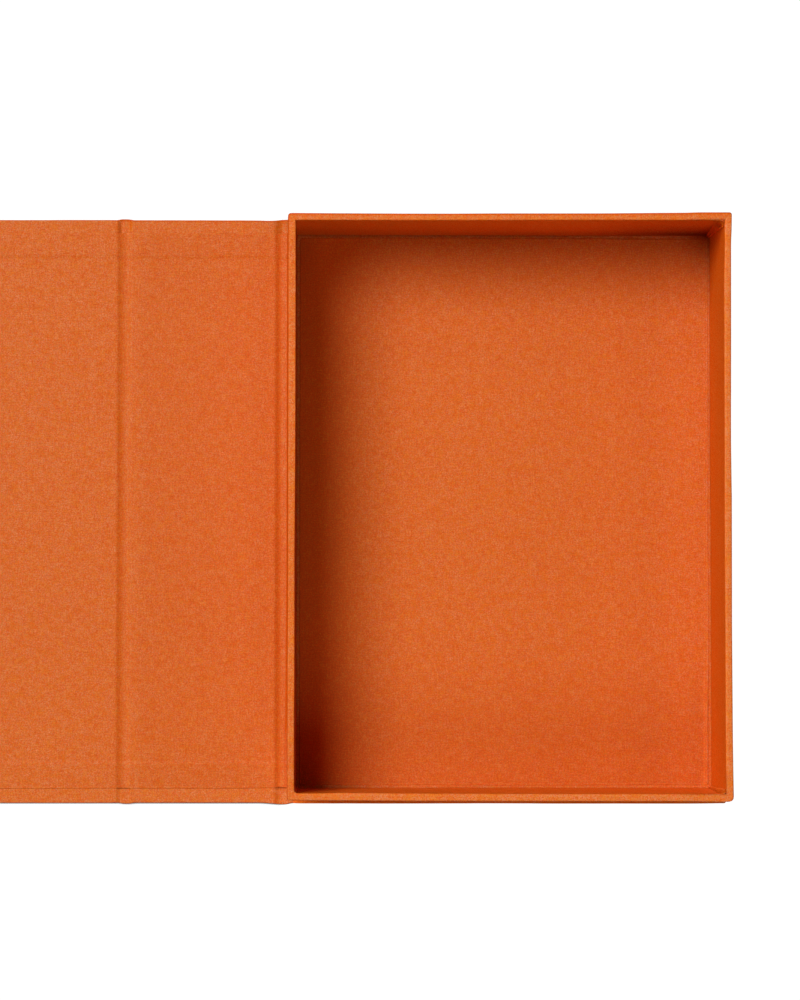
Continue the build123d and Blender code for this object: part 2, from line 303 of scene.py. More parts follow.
def rings(cloth, x0, x1, y0, y1, R, profile, zero, step, ends, seam=None, tone=None,
          nc=5, flip=False, move=None, sign=1.0):
    """Sweeps a profile of (d, z) points round a rectangle. Corners are rounded by R at the edge, and mitred where d is past R. seam leaves one side open. Returns the side sampling, which cap() needs. sign is 1 where the developed length grows outwards."""
    S = developed(profile, zero) * sign
    order = {None: ["tail", "right", "head", "left"], "left": ["tail", "right", "head"], "right": ["head", "left", "tail"]}[seam]
    w, h = x1 - x0, y1 - y0
    tx = spaced(0, w, step, ends) / w
    ty = spaced(0, h, step, ends) / h
    rows = []
    for (d, z), s in zip(profile, S):
        e, rho = max(R, d), max(R - d, 0.0)
        xs_lo = x0 if seam == "left" else x0 + e
        xs_hi = x1 if seam == "right" else x1 - e
        pts = []
        for k, side in enumerate(order):
            if side == "tail":
                xs = xs_lo + (xs_hi - xs_lo) * tx
                line = [(x, y0 + d, x, y0 - s, "tail") for x in xs]
                corner = (x1 - e, y0 + e, -90)
            elif side == "right":
                ys = y0 + e + (h - 2 * e) * ty
                line = [(x1 - d, y, x1 + s, y, "right") for y in ys]
                corner = (x1 - e, y1 - e, 0)
            elif side == "head":
                xs = xs_hi + (xs_lo - xs_hi) * tx
                line = [(x, y1 - d, x, y1 + s, "head") for x in xs]
                corner = (x0 + e, y1 - e, 90)
            else:
                ys = y1 - e - (h - 2 * e) * ty
                line = [(x0 + d, y, x0 - s, y, "left") for y in ys]
                corner = (x0 + e, y0 + e, 180)
            last = seam is not None and k == len(order) - 1
            pts.append((side, line, None if last else (corner, rho, s)))
        rows.append(pts)
    # each side with half of the corner at each of its ends, so that the weave runs true to the mitre
    n = len(profile)
    for k, side in enumerate(order):
        P, UV = [], []
        for r in range(n):
            _, line, after = rows[r][k]
            before = rows[r][k - 1][2] if (k > 0 or seam is None) else None
            pts, uvs = [], []

            def corner_points(c, half):
                (cx, cy, a0), rho, s = c
                out = []
                for j in range(nc + 1):
                    f = j / nc / 2 + (0.5 if half == 2 else 0)
                    a = math.radians(a0 + 90 * f)
                    # off the corner's own centre, or its mitre point
                    out.append((cx + rho * math.cos(a), cy + rho * math.sin(a)))
                return out

            def weave(x, y, s):
                d = profile[r][0]
                if side == "tail":
                    return (x, y0 - s)
                if side == "head":
                    return (x, y1 + s)
                if side == "right":
                    return (x1 + s, y)
                return (x0 - s, y)

            s = S[r]
            if before is not None:
                c = corner_points(before, 2)
                pts += c[:-1]
                uvs += [weave(x, y, s) for x, y in c[:-1]]
            for x, y, _, _, _ in line:
                pts.append((x, y))
                uvs.append(weave(x, y, s))
            if after is not None:
                c = corner_points(after, 1)
                pts += c[1:]
                uvs += [weave(x, y, s) for x, y in c[1:]]
            P.append([(x, y, profile[r][1]) for x, y in pts])
            UV.append(uvs)
        P, UV = np.array(P, float), np.array(UV, float)
        T = np.zeros(P.shape[:2]) if tone is None else np.broadcast_to(
            np.asarray(tone, float)[:, None], P.shape[:2])
        K = 0.0
        if move is not None:
            P, T, K = move(P.copy(), T.copy(), side, np.array(profile), S)
        cloth.grid(P, UV, T, flip=flip, K=K)
    return tx, ty


def cap(cloth, x0, x1, y0, y1, d, z, tx, ty, seam=None, flip=False, height=None, tone=None):
    """The flat middle inside the last ring of rings(), with the same points along its edge."""
    xs_lo = x0 if seam == "left" else x0 + d
    xs_hi = x1 if seam == "right" else x1 - d
    xs = xs_lo + (xs_hi - xs_lo) * tx
    ys = y0 + d + (y1 - y0 - 2 * d) * ty
    X, Y = np.meshgrid(xs, ys, indexing="ij")
    Z = np.full_like(X, z)
    if height is not None:
        Z = Z + height(X, Y)
    T = None if tone is None else tone(X, Y)
    cloth.grid(np.stack([X, Y, Z], -1), np.stack([X, Y], -1), T, flip=flip)


# ----------------------------------------------------------------- materials
def nodes_of(name):
    m = bpy.data.materials.new(name)
    m.use_nodes = True
    t = m.node_tree
    t.nodes.clear()
    return m, t


class Graph:
    def __init__(self, tree):
        self.t = tree

    def add(self, kind, **props):
        n = self.t.nodes.new(kind)
        for k, v in props.items():
            setattr(n, k, v)
        return n

    def link(self, a, b):
        self.t.links.new(a, b)

    def put(self, socket, value):
        if isinstance(value, (int, float)):
            socket.default_value = value
        elif isinstance(value, (tuple, list)):
            socket.default_value = value
        else:
            self.link(value, socket)

    def math(self, op, a, b=None, c=None, clamp=False):
        n = self.add("ShaderNodeMath", operation=op, use_clamp=clamp)
        self.put(n.inputs[0], a)
        if b is not None:
            self.put(n.inputs[1], b)
        if c is not None:
            self.put(n.inputs[2], c)
        return n.outputs[0]

    def vmath(self, op, a, b=None):
        n = self.add("ShaderNodeVectorMath", operation=op)
        self.put(n.inputs[0], a)
        if b is not None:
            self.put(n.inputs[1], b)
        return n.outputs[0]

    def noise(self, vec, scale, detail=2.0, rough=0.5, colour=False):
        n = self.add("ShaderNodeTexNoise", noise_dimensions="3D")
        self.link(vec, n.inputs["Vector"])
        n.inputs["Scale"].default_value = scale
        n.inputs["Detail"].default_value = detail
        n.inputs["Roughness"].default_value = rough
        return n.outputs["Color" if colour else "Fac"]

    def spread(self, fac, lo, hi, out_lo, out_hi):
        n = self.add("ShaderNodeMapRange")
        n.interpolation_type = "SMOOTHSTEP"
        self.link(fac, n.inputs["Value"])
        n.inputs["From Min"].default_value = lo
        n.inputs["From Max"].default_value = hi
        n.inputs["To Min"].default_value = out_lo
        n.inputs["To Max"].default_value = out_hi
        return n.outputs["Result"]

    def mix(self, fac, a, b, mode="MIX"):
        n = self.add("ShaderNodeMix", data_type="RGBA", blend_type=mode)
        self.put(n.inputs[0], fac)
        self.put(n.inputs[6], a)
        self.put(n.inputs[7], b)
        return n.outputs[2]


def book_cloth(name, offset, chalk=0.0, gloss=0.22, dust=0.31):
    """Starched plain-weave book cloth. Its coordinates are the cloth's own, in mm, so the threads follow every fold."""
    m, t = nodes_of(name)
    g = Graph(t)
    out = g.add("ShaderNodeOutputMaterial")
    p = g.add("ShaderNodeBsdfPrincipled")
    g.link(p.outputs[0], out.inputs[0])
    uv = g.add("ShaderNodeUVMap", uv_map="weave").outputs[0]
    uv = g.vmath("ADD", uv, (offset, offset * 0.37, 0.0))
    # threads wander a little and swell into slubs
    warp = g.noise(uv, 0.16, 3.0, 0.6, colour=True)
    warp = g.vmath("SUBTRACT", warp, (0.5, 0.5, 0.5))
    warp = g.vmath("MULTIPLY", warp, (0.9, 0.9, 0.0))
    laid = g.vmath("ADD", uv, warp)
    pitch = 0.46
    turned = g.vmath("MULTIPLY", laid, (math.pi / pitch, math.pi / pitch, 0.0))
    sep = g.add("ShaderNodeSeparateXYZ")
    g.link(turned, sep.inputs[0])
    cu = g.math("COSINE", sep.outputs[0])
    cv = g.math("COSINE", sep.outputs[1])
    cross = g.math("MULTIPLY", g.math("MULTIPLY", cu, cv), 0.5)
    up = g.math("ADD", g.math("MULTIPLY", g.math("ABSOLUTE", cu), 0.5), cross)
    over = g.math("SUBTRACT", g.math("MULTIPLY", g.math("ABSOLUTE", cv), 0.5), cross)
    weave = g.math("MAXIMUM", up, over)
    # slubs: short thick stretches along either thread
    along_u = g.noise(g.vmath("MULTIPLY", laid, (0.17, 1.35, 1.0)), 1.0, 1.0, 0.5)
    along_v = g.noise(g.vmath("MULTIPLY", laid, (1.35, 0.17, 1.0)), 1.0, 1.0, 0.5)
    streak = g.math("ADD", g.spread(along_u, 0.34, 0.70, -0.5, 0.5),
                    g.spread(along_v, 0.34, 0.70, -0.5, 0.5))
    fleck = g.noise(laid, 1.45, 1.0, 0.5)
    fleck = g.spread(fleck, 0.30, 0.70, -0.5, 0.5)
    fine = g.noise(laid, 2.6, 0.0, 0.5)
    fine = g.spread(fine, 0.28, 0.72, -0.5, 0.5)
    grain = g.noise(g.vmath("ADD", laid, (91.3, 57.9, 0.0)), 1.15, 0.0, 0.5)
    grain = g.spread(grain, 0.28, 0.72, -0.5, 0.5)
    broad = g.noise(laid, 0.045, 3.0, 0.55)
    broad = g.spread(broad, 0.30, 0.70, -0.5, 0.5)
    tone = g.add("ShaderNodeAttribute", attribute_name="tone", attribute_type="GEOMETRY").outputs["Fac"]
    # value: how light the threads are here, with the tone attribute, which carries painted light and shade as well as
    # real tones
    value = g.math("MULTIPLY", fleck, 0.050)
    value = g.math("MULTIPLY_ADD", grain, 0.138, value)
    value = g.math("MULTIPLY_ADD", streak, 0.040, value)
    value = g.math("MULTIPLY_ADD", broad, 0.008, value)
    value = g.math("ADD", value, tone)
    value = g.math("ADD", value, 1.0)
    # chalk: how much undyed size and lint lies on the threads. The second attribute read below moves it as well, and
    # where it is low it gives painted shade the deeper colour of shade.
    lint = g.noise(g.vmath("ADD", laid, (37.0, 11.0, 0.3)), 1.85, 0.0, 0.5)
    lint = g.spread(lint, 0.28, 0.72, -0.5, 0.5)
    soft = g.math("MULTIPLY_ADD", lint, 0.98, 0.5 + chalk)
    soft = g.math("MULTIPLY_ADD", fine, 0.80, soft)
    soft = g.math("MULTIPLY_ADD", streak, 0.31, soft)
    soft = g.math("MULTIPLY_ADD", broad, 0.06, soft)
    chalk_and_shade = g.add("ShaderNodeAttribute", attribute_name="chalk_and_shade", attribute_type="GEOMETRY").outputs["Fac"]
    soft = g.math("ADD", soft, chalk_and_shade)
    soft = g.math("MULTIPLY_ADD", tone, 0.6, soft, clamp=True)
    colour = g.mix(soft, (0.702, 0.093, 0.0001, 1.0), (0.702, 0.175, 0.0040, 1.0))
    # lint: pale fibre ends where the size is thickest, in drifts
    drift = g.noise(g.vmath("ADD", laid, (19.0, 71.0, 0.4)), 0.20, 4.0, 0.68)
    drift = g.spread(drift, 0.30, 0.70, 0.10 * dust, 2.10 * dust)
    ends = g.noise(g.vmath("ADD", laid, (53.0, 29.0, 0.0)), 1.45, 0.0, 0.5)
    ends = g.spread(ends, 0.38, 0.66, 0.0, 0.40)
    pale = g.math("MULTIPLY", g.math("POWER", soft, 3.0), 0.26)
    pale = g.math("MULTIPLY", g.math("MULTIPLY_ADD", ends, g.math("MULTIPLY_ADD", soft, 0.6, 0.6, clamp=True), pale), drift)
    # less of it where the second attribute is low, which is mostly where shade is painted
    pale = g.math("MULTIPLY", pale, g.math("MAXIMUM", g.math("MULTIPLY_ADD", chalk_and_shade, 2.4, 1.0), 0.0))
    colour = g.mix(pale, colour, (0.70, 0.28, 0.20, 1.0))
    scale = g.add("ShaderNodeCombineXYZ")
    for k in range(3):
        g.link(value, scale.inputs[k])
    colour = g.mix(1.0, colour, scale.outputs[0], mode="MULTIPLY")
    g.link(colour, p.inputs["Base Color"])
    # starch gives the threads' crowns a dull shine, lint takes it away
    rough = g.math("MULTIPLY_ADD", lint, -0.30, 0.60)
    rough = g.math("MULTIPLY_ADD", fine, -0.15, rough, clamp=True)
    g.link(rough, p.inputs["Roughness"])
    # and so does the second attribute where it is lowest: along painted shade lines at creases and edges, and along the
    # head edges
    g.link(g.spread(chalk_and_shade, -1.1, -0.7, 0.2 * gloss, gloss), p.inputs["Specular IOR Level"])
    # relief: threads, slubs and a slight cockle
    height = g.math("MULTIPLY", weave, 0.55)
    height = g.math("MULTIPLY_ADD", streak, 0.45, height)
    height = g.math("MULTIPLY_ADD", fleck, 0.35, height)
    b = g.add("ShaderNodeBump")
    b.inputs["Strength"].default_value = 0.55
    b.inputs["Distance"].default_value = 0.00008
    g.link(height, b.inputs["Height"])
    g.link(b.outputs[0], p.inputs["Normal"])
    return m


def grey_board(name):
    m, t = nodes_of(name)
    g = Graph(t)
    out = g.add("ShaderNodeOutputMaterial")
    p = g.add("ShaderNodeBsdfPrincipled")
    g.link(p.outputs[0], out.inputs[0])
    at = g.add("ShaderNodeTexCoord").outputs["Object"]
    at = g.vmath("MULTIPLY", at, (1000.0, 1000.0, 1000.0))
    fibre = g.noise(g.vmath("MULTIPLY", at, (0.5, 1.6, 4.0)), 1.0, 4.0, 0.65)
    speck = g.noise(at, 2.2, 2.0, 0.5)
    shade = g.math("MULTIPLY_ADD", g.spread(fibre, 0.3, 0.7, -0.5, 0.5), 0.5, 0.5)
    shade = g.math("MULTIPLY_ADD", g.spread(speck, 0.55, 0.75, 0.0, 1.0), -0.5, shade, clamp=True)
    g.link(g.mix(shade, (0.20, 0.18, 0.155, 1.0), (0.40, 0.37, 0.325, 1.0)), p.inputs["Base Color"])
    g.link(g.math("MULTIPLY_ADD", fibre, 0.15, 0.78), p.inputs["Roughness"])
    b = g.add("ShaderNodeBump")
    b.inputs["Strength"].default_value = 0.5
    b.inputs["Distance"].default_value = 0.00015
    g.link(fibre, b.inputs["Height"])
    g.link(b.outputs[0], p.inputs["Normal"])
    return m


case_mat = book_cloth("book_cloth_case", 0.0, chalk=0.09)
tray_mat = book_cloth("book_cloth_tray", 611.0)
lining_mat = book_cloth("book_cloth_lining", 1307.0)
panel_mat = book_cloth("book_cloth_floor", 2111.0)
# a shaded copy of the tray's cloth for the inside of the walls, which are lit mostly by light bounced off the orange
# cloth: more saturated, duller and with less lint than where it lies flat
shaded_wall_mat = book_cloth("book_cloth_walls_shaded", 611.0, chalk=-0.06, gloss=0.06, dust=0.10)
board_mat = grey_board("grey_board")

for n in ("back_board", "spine_board", "cover_board", "tray_floor_board", "tray_head_wall",
          "tray_tail_wall", "tray_fore_edge_wall", "tray_spine_wall", "floor_card"):
    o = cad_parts[n]
    o.data.materials.clear()
    o.data.materials.append(board_mat)


# ------------------------------------------------------------- case: shapes
EDGE_R = 0.6


def groove(x, left, right, top, low, a_in, a_out, b_out, b_in, tilt):
    """A pressed groove between two boards. tilt lifts its floor towards the right."""
    fall = smooth((x - (left - a_in)) / (a_in + a_out))
    rise = smooth((x - (right - b_out)) / (b_out + b_in))
    lift = 1 - tilt * smooth((x - left) / (right - left))
    return top - (top - low) * fall * (1 - rise) * lift


def bare_top(x, side):
    """Top of the turned-in case cloth across both joints, at the head or the tail."""
    if side == "head":
        z = groove(x, cover_x2, spine_x1, top_z, 2.17, 0.7, 2.7, 1.9, 0.4, 0.0)
        z2 = groove(x, spine_x2, back_x1, top_z, 1.77, 0.3, 4.9, 4.3, 0.5, 0.27)
    else:
        z = groove(x, cover_x2, spine_x1, top_z, 2.99, 0.7, 2.4, 0.9, 0.3, 0.0)
        z2 = groove(x, spine_x2, back_x1, top_z, 2.68, 0.3, 3.1, 3.9, 1.6, 0.12)
    return np.minimum(z, z2)


def lined_top(x):
    """Top of the lining across both joints, where no turn-in lies under it."""
    z = groove(x, cover_x2, spine_x1, top_z, 2.76, 0.9, 3.4, 2.8, 0.2, 0.0)
    z2 = groove(x, spine_x2, back_x1, top_z, 2.50, 0.5, 4.0, 3.8, 0.6, 0.7)
    return np.minimum(z, z2)


def under(x):
    """Underside of the case cloth: pressed up into the joints as well."""
    a = smooth((x - cover_x2) / 3.4) * smooth((spine_x1 - x) / 3.4)
    b = smooth((x - spine_x2) / 3.4) * smooth((back_x1 - x) / 3.4)
    return 0.75 * np.maximum(a, b)


def bulge(x, side):
    """How far the folded cloth stands out past the boards at the joints' ends, in mm: beside the cover and beside the tray."""
    if side == "head":
        a = 0.62 * smooth((x - (cover_x2 - 1.0)) / 3.6) * smooth((spine_x1 + 1.6 - x) / 4.2)
        b = 0.54 * smooth((x - (spine_x2 - 0.2)) / 4.8) - 0.16 * bump(x, spine_x2 - 4.0, 6.0)
    else:
        a = 0.52 * smooth((x - (cover_x2 + 1.0)) / 3.2) * smooth((spine_x1 + 2.8 - x) / 4.0)
        b = 0.74 * smooth((x - (spine_x2 - 9.0)) / 13.0) * smooth((back_x1 + 2.0 - x) / 5.0)
    return a, b


def edge_line(side, along):
    """Slight wander of a covered edge, in mm, the same for neighbouring pieces."""
    k = {"head": 11, "tail": 12, "left": 13, "right": 14}[side]
    off = 0.0
    if side == "head":
        off = 0.07 * smooth((along - spine_x1) / 8) - 0.07 * smooth((cover_x2 - 20 - along) / 60)
    elif side == "tail":
        off = 0.12 * smooth((along - back_x1 - 2) / 4) - 0.27 * smooth((spine_x2 + 4 - along) / 6)
    line = 0.09 * wave(along, 0 * along, 34.0, k) + 0.035 * wave(along, 0 * along, 7.0, k + 40) + off
    # the cloth lies tight on the board, so it never goes in further than the board lets it, and both sides meet in each corner
    if side in ("head", "tail"):
        corner = np.maximum(smooth((along - (back_x2 - 9)) / 6), smooth((cover_x1 + 9 - along) / 6))
    else:
        corner = np.maximum(smooth((along - (head_y - 9)) / 6), smooth((tail_y + 9 - along) / 6))
    return np.maximum(line, -0.25) * (1 - corner)


def cut_line(side, along):
    """Wander of a lining's cut edge."""
    k = {"head": 21, "tail": 22, "left": 23}[side]
    slant = 0.30 * smooth((along + 150) / 16) if side == "tail" else 0.0
    return 0.13 * wave(along, 0 * along, 41.0, k) + 0.06 * wave(along, 0 * along, 5.0, k + 40) + slant


def tail_cut_shade(x):
    """Where the lining's tail cut crosses the joints' creases and stands off the cloth: the places where painted shade
    goes under it.
    """
    return (bump(x, cover_x2 + 1.3, 2.7) + 0.7 * bump(x, spine_x1 - 2.8, 2.2) + bump(x, spine_x2 + 1.7, 3.4)
            + 0.5 * bump(x, spine_x2 + 4.6, 2.0))


def groove_light_and_shade(x, side):
    """Painted shade in the joints' grooves, on the sides that face away from the lamp, and at the head painted
    highlights on the slopes that face it, on the turned-in cloth across both joints.
    """
    if side == "head":
        return (-0.13 * bump(x, cover_x2 + 0.4, 1.5) + 0.10 * bump(x, cover_x2 + 2.3, 1.5) - 0.065 * bump(x, spine_x2 + 0.5, 2.4)
                + 0.07 * bump(x, spine_x2 + 3.9, 1.6) - 0.06 * bump(x, back_x1 - 1.9, 1.2))
    return -0.045 * bump(x, cover_x2 + 0.2, 1.8) - 0.035 * bump(x, spine_x1 - 2.9, 1.4) - 0.055 * bump(x, spine_x2 + 1.0, 2.0)


def case_profile():
    """From the inner end of a turn-in, over its top, round the edge and under."""
    p = [(TURN, top_z), (15.0, top_z), (10.0, top_z), (8.6, top_z), (7.8, top_z), (7.0, top_z), (5.0, top_z), (3.2, top_z), (1.9, top_z), (1.1, top_z)]
    p += arc(EDGE_R, top_z - EDGE_R, EDGE_R, 90, 180, 5)
    p += arc(EDGE_R, EDGE_R, EDGE_R, 180, 270, 5)
    zero = len(p) - 1
    p += [(2.0, 0.0), (5.0, 0.0), (12.0, 0.0)]
    return p, zero


def case_move(seed):
    def move(P, T, side, prof, S):
        x, y, z = P[..., 0], P[..., 1], P[..., 2]
        along = x if side in ("head", "tail") else y
        d = prof[:, 0][:, None]
        near = np.clip(1 - d / 6.0, 0, 1)
        off = edge_line(side, along) * near
        if side == "head":
            P[..., 1] = y + off
        elif side == "tail":
            P[..., 1] = y - off
        elif side == "left":
            P[..., 0] = x - off
        else:
            P[..., 0] = x + off
        up = (z > top_z - 0.05)
        P[..., 2] = z + np.where(up, 0.5 * undulate(x, y, seed) * np.clip(d / 1.5, 0, 1) * np.clip((TURN - 8 - d) / 6, 0, 1), 0)
        # the turn-in's inner ends sit where the cloth was cut
        if side in ("head", "tail"):
            want = (head_y - RIDGE_HEAD) if side == "head" else (RIDGE_TAIL - tail_y)
            extra = (want - TURN) * np.clip((d - 10) / (TURN - 10), 0, 1) * (z > 2)
            sgn = -1 if side == "head" else 1
            P[..., 1] = P[..., 1] + sgn * extra
        # more rubbed towards the tail; painted light on the back board's tail edge beside the tray, where the tray
        # shades it
        T = T + 0.05 * smooth((LIN_TAIL + 2 - y) / 3) * (z > 2)
        K = np.zeros_like(T)
        # a painted shade where the cover's tail edge turns down to the table
        if side == "tail" and seed != 100:
            T = T - 0.45 * smooth((0.30 - d) / 0.22)
        # painted light on the back board's tail edge in the tray's shadow, with the deeper colour of shade
        if seed == 100:
            strip = smooth((out_y1 + 0.4 - y) / 0.6)
            T = T + (0.44 + 0.20 * smooth((x + 110) / 120)) * strip
            K = K - 0.45 * strip
            if side in ("head", "tail"):
                extra = bulge(x, side)[1]
                P[..., 1] = P[..., 1] + (1 if side == "head" else -1) * extra * near
            else:
                # the fore edge follows the head edge round their corner
                P[..., 1] = P[..., 1] + bulge(x, "head")[1] * near * smooth((y - (head_y - 9)) / 6)
        return P, T, K
    return move


def case_tones(profile):
    """A little darker round the edge's top, and a painted shade where it turns down to the table."""
    out = []
    for d, z in profile:
        t = 0.0
        if z > 2.5 and d < 1.3:
            t = -0.035 * (1 - d / 1.3)
        if z <= 2.5 and d < 1.0:
            t = -0.05
        out.append(t)
    return out


prof, zero = case_profile()

# back board: free at tail, fore edge and head
back = Cloth()
tx, ty = rings(back, SEAM_BACK, back_x2, tail_y, head_y, 1.5, prof, zero, 6.0, (0.6, 1.5, 3.0), seam="left",
               tone=case_tones(prof), move=case_move(100), nc=3)
cap(back, SEAM_BACK, back_x2, tail_y, head_y, prof[-1][0], 0.0, tx, ty, seam="left", flip=True)

# cover board: free at head, fore edge and tail
cover = Cloth()
tx, ty = rings(cover, cover_x1, SEAM_COVER, tail_y, head_y, 1.5, prof, zero, 6.0, (0.6, 1.5, 3.0), seam="right",
               tone=case_tones(prof), move=case_move(130), nc=3)
cap(cover, cover_x1, SEAM_COVER, tail_y, head_y, prof[-1][0], 0.0, tx, ty, seam="right", flip=True)


def case_strip(xs, step_y):
    """Case cloth across a joint or the spine: turned in at head and tail. Columns are the given x."""
    c = Cloth()
    low = under(xs)
    rows, uv, tone, soak = [], [], [], []
    S_flat = developed(prof, zero)

    def add(y, z, v, t, k=0.0):
        soak.append(np.full_like(xs, k))
        rows.append(np.stack([xs, y, z], -1))
        uv.append(np.stack([xs, np.full_like(xs, v) if np.ndim(v) == 0 else v], -1))
        tone.append(np.full_like(xs, t) if np.ndim(t) == 0 else t)

    n_arc = 5
    # near its ends the fold in the joint rolls up a little
    for side in ("head", "tail"):
        top = bare_top(xs, side)
        ba, bb = bulge(xs, side)
        swell = np.clip(np.maximum(ba, bb) / 0.6, 0, 1)
        edge = (head_y if side == "head" else -tail_y) + edge_line(side, xs) + ba + bb
        inner = RIDGE_HEAD if side == "head" else -RIDGE_TAIL
        pts = []
        # from the inner end of the turn-in out to the edge
        ds = [d for d, z in prof if z > top_z - 1e-6 and d > 1.0]
        for k, d in enumerate(ds):
            depth = (head_y if side == "head" else -tail_y) - d
            if d >= 10:
                depth = depth + ((inner - (head_y if side == "head" else -tail_y) + TURN)) * np.clip((d - 10) / (TURN - 10), 0, 1)
            near = np.clip(1 - d / 6.0, 0, 1)
            y = depth + (edge - (head_y if side == "head" else -tail_y)) * near
            roll = 0.55 * swell * np.clip(1 - d / 2.6, 0, 1)
            # painted shade in the joints' grooves, and at the head painted highlights
            t = (0.0 if side == "head" else 0.05) + groove_light_and_shade(xs, side)
            # painted shade under the lining's tail cut, where it stands off the joints
            if side == "tail" and 7.5 < d < 9:
                t = t - (0.28 if d > 8 else 0.03) * tail_cut_shade(xs)
            pts.append((y, top + roll, S_flat[k], t))
        roll = 0.55 * swell
        tz = top + roll
        r = np.minimum(EDGE_R, (tz - low) * 0.48)
        for k in range(n_arc + 1):
            a = math.radians(90 - 90 * k / n_arc)
            # darker round the edge; at the tail a painted shade where it turns down to the table
            t = -0.06 if side == "head" else -0.035 - 0.45 * (k > 1)
            pts.append((edge - r + r * math.cos(a), tz - r + r * math.sin(a), S_flat[len(ds) + k], t))
        # a little painted shade round the underside, by the table
        for k in range(n_arc + 1):
            a = math.radians(-90 * k / n_arc)
            pts.append((edge - r + r * math.cos(a), low + r + r * math.sin(a), S_flat[len(ds) + n_arc + 1 + k], -0.05))
        pts.append((edge - 2.0 * np.ones_like(xs), low, S_flat[zero + 1], 0.0))
        pts.append((edge - 5.0 * np.ones_like(xs), low, S_flat[zero + 2], 0.0))
        if side == "head":
            for k, (y, z, s, t) in enumerate(pts):
                add(y, z, head_y - s, t, -0.85 if len(ds) <= k <= len(ds) + 1 else 0.0)
        else:
            # the flat underside between head and tail
            ys = spaced(140.0, -140.0, step_y)
            for y in ys:
                add(np.full_like(xs, y), low, y, 0.0)
            for y, z, s, t in reversed(pts):
                add(-y, z, tail_y + s, t)
    P, UV, T = np.array(rows), np.array(uv), np.array(tone)
    c.grid(P, UV, T, flip=True, K=np.array(soak))
    return c, P


def columns(a, b, fine=0.38):
    return np.linspace(a, b, int(round((b - a) / fine)) + 1)


spine_cols = spaced(SEAM_SPINE_L, SEAM_SPINE_R, 6.0, (0.4, 1.2, 3.0))
base_cols = columns(SEAM_SPINE_R, SEAM_BACK)
cover_cols = columns(SEAM_COVER, SEAM_SPINE_L)
spine, _ = case_strip(spine_cols, 8.0)
base_joint, _ = case_strip(base_cols, 8.0)
cover_joint, _ = case_strip(cover_cols, 8.0)


# ------------------------------------------------------------------ linings
def lining_rows(lo, hi):
    """y of a lining's rows: close together at its cut edges and over the turn-ins' ends."""
    near = [0.0, 0.16, 0.34, 0.6, 1.0, 1.7, 2.8]
    ys = {round(lo + e, 3) for e in near} | {round(hi - e, 3) for e in near}
    for r in (RIDGE_TAIL, RIDGE_HEAD):
        for e in np.arange(-2.4, 2.41, 0.4):
            ys.add(round(r + e, 3))
    for y in np.arange(math.ceil(lo / 4) * 4, hi, 4.0):
        if all(abs(y - q) > 1.8 for q in ys):
            ys.add(float(y))
    return np.array(sorted(ys))


def over_turn_in(x, y, left=False):
    """The step up onto the turn-ins, from 0 to one cloth."""
    wig = 0.35 * wave(x, 0 * x, 26.0, 61) + 0.15 * wave(x, 0 * x, 6.0, 62)
    s = np.maximum(smooth((y - (RIDGE_HEAD - 1.5 + wig)) / 2.3), smooth(((RIDGE_TAIL + 1.3 + wig) - y) / 2.2))
    if left:
        s = np.maximum(s, smooth(((RIDGE_LEFT + 1.3 + 0.3 * wave(y, 0 * y, 26.0, 63)) - x) / 2.4))
    return CL * s


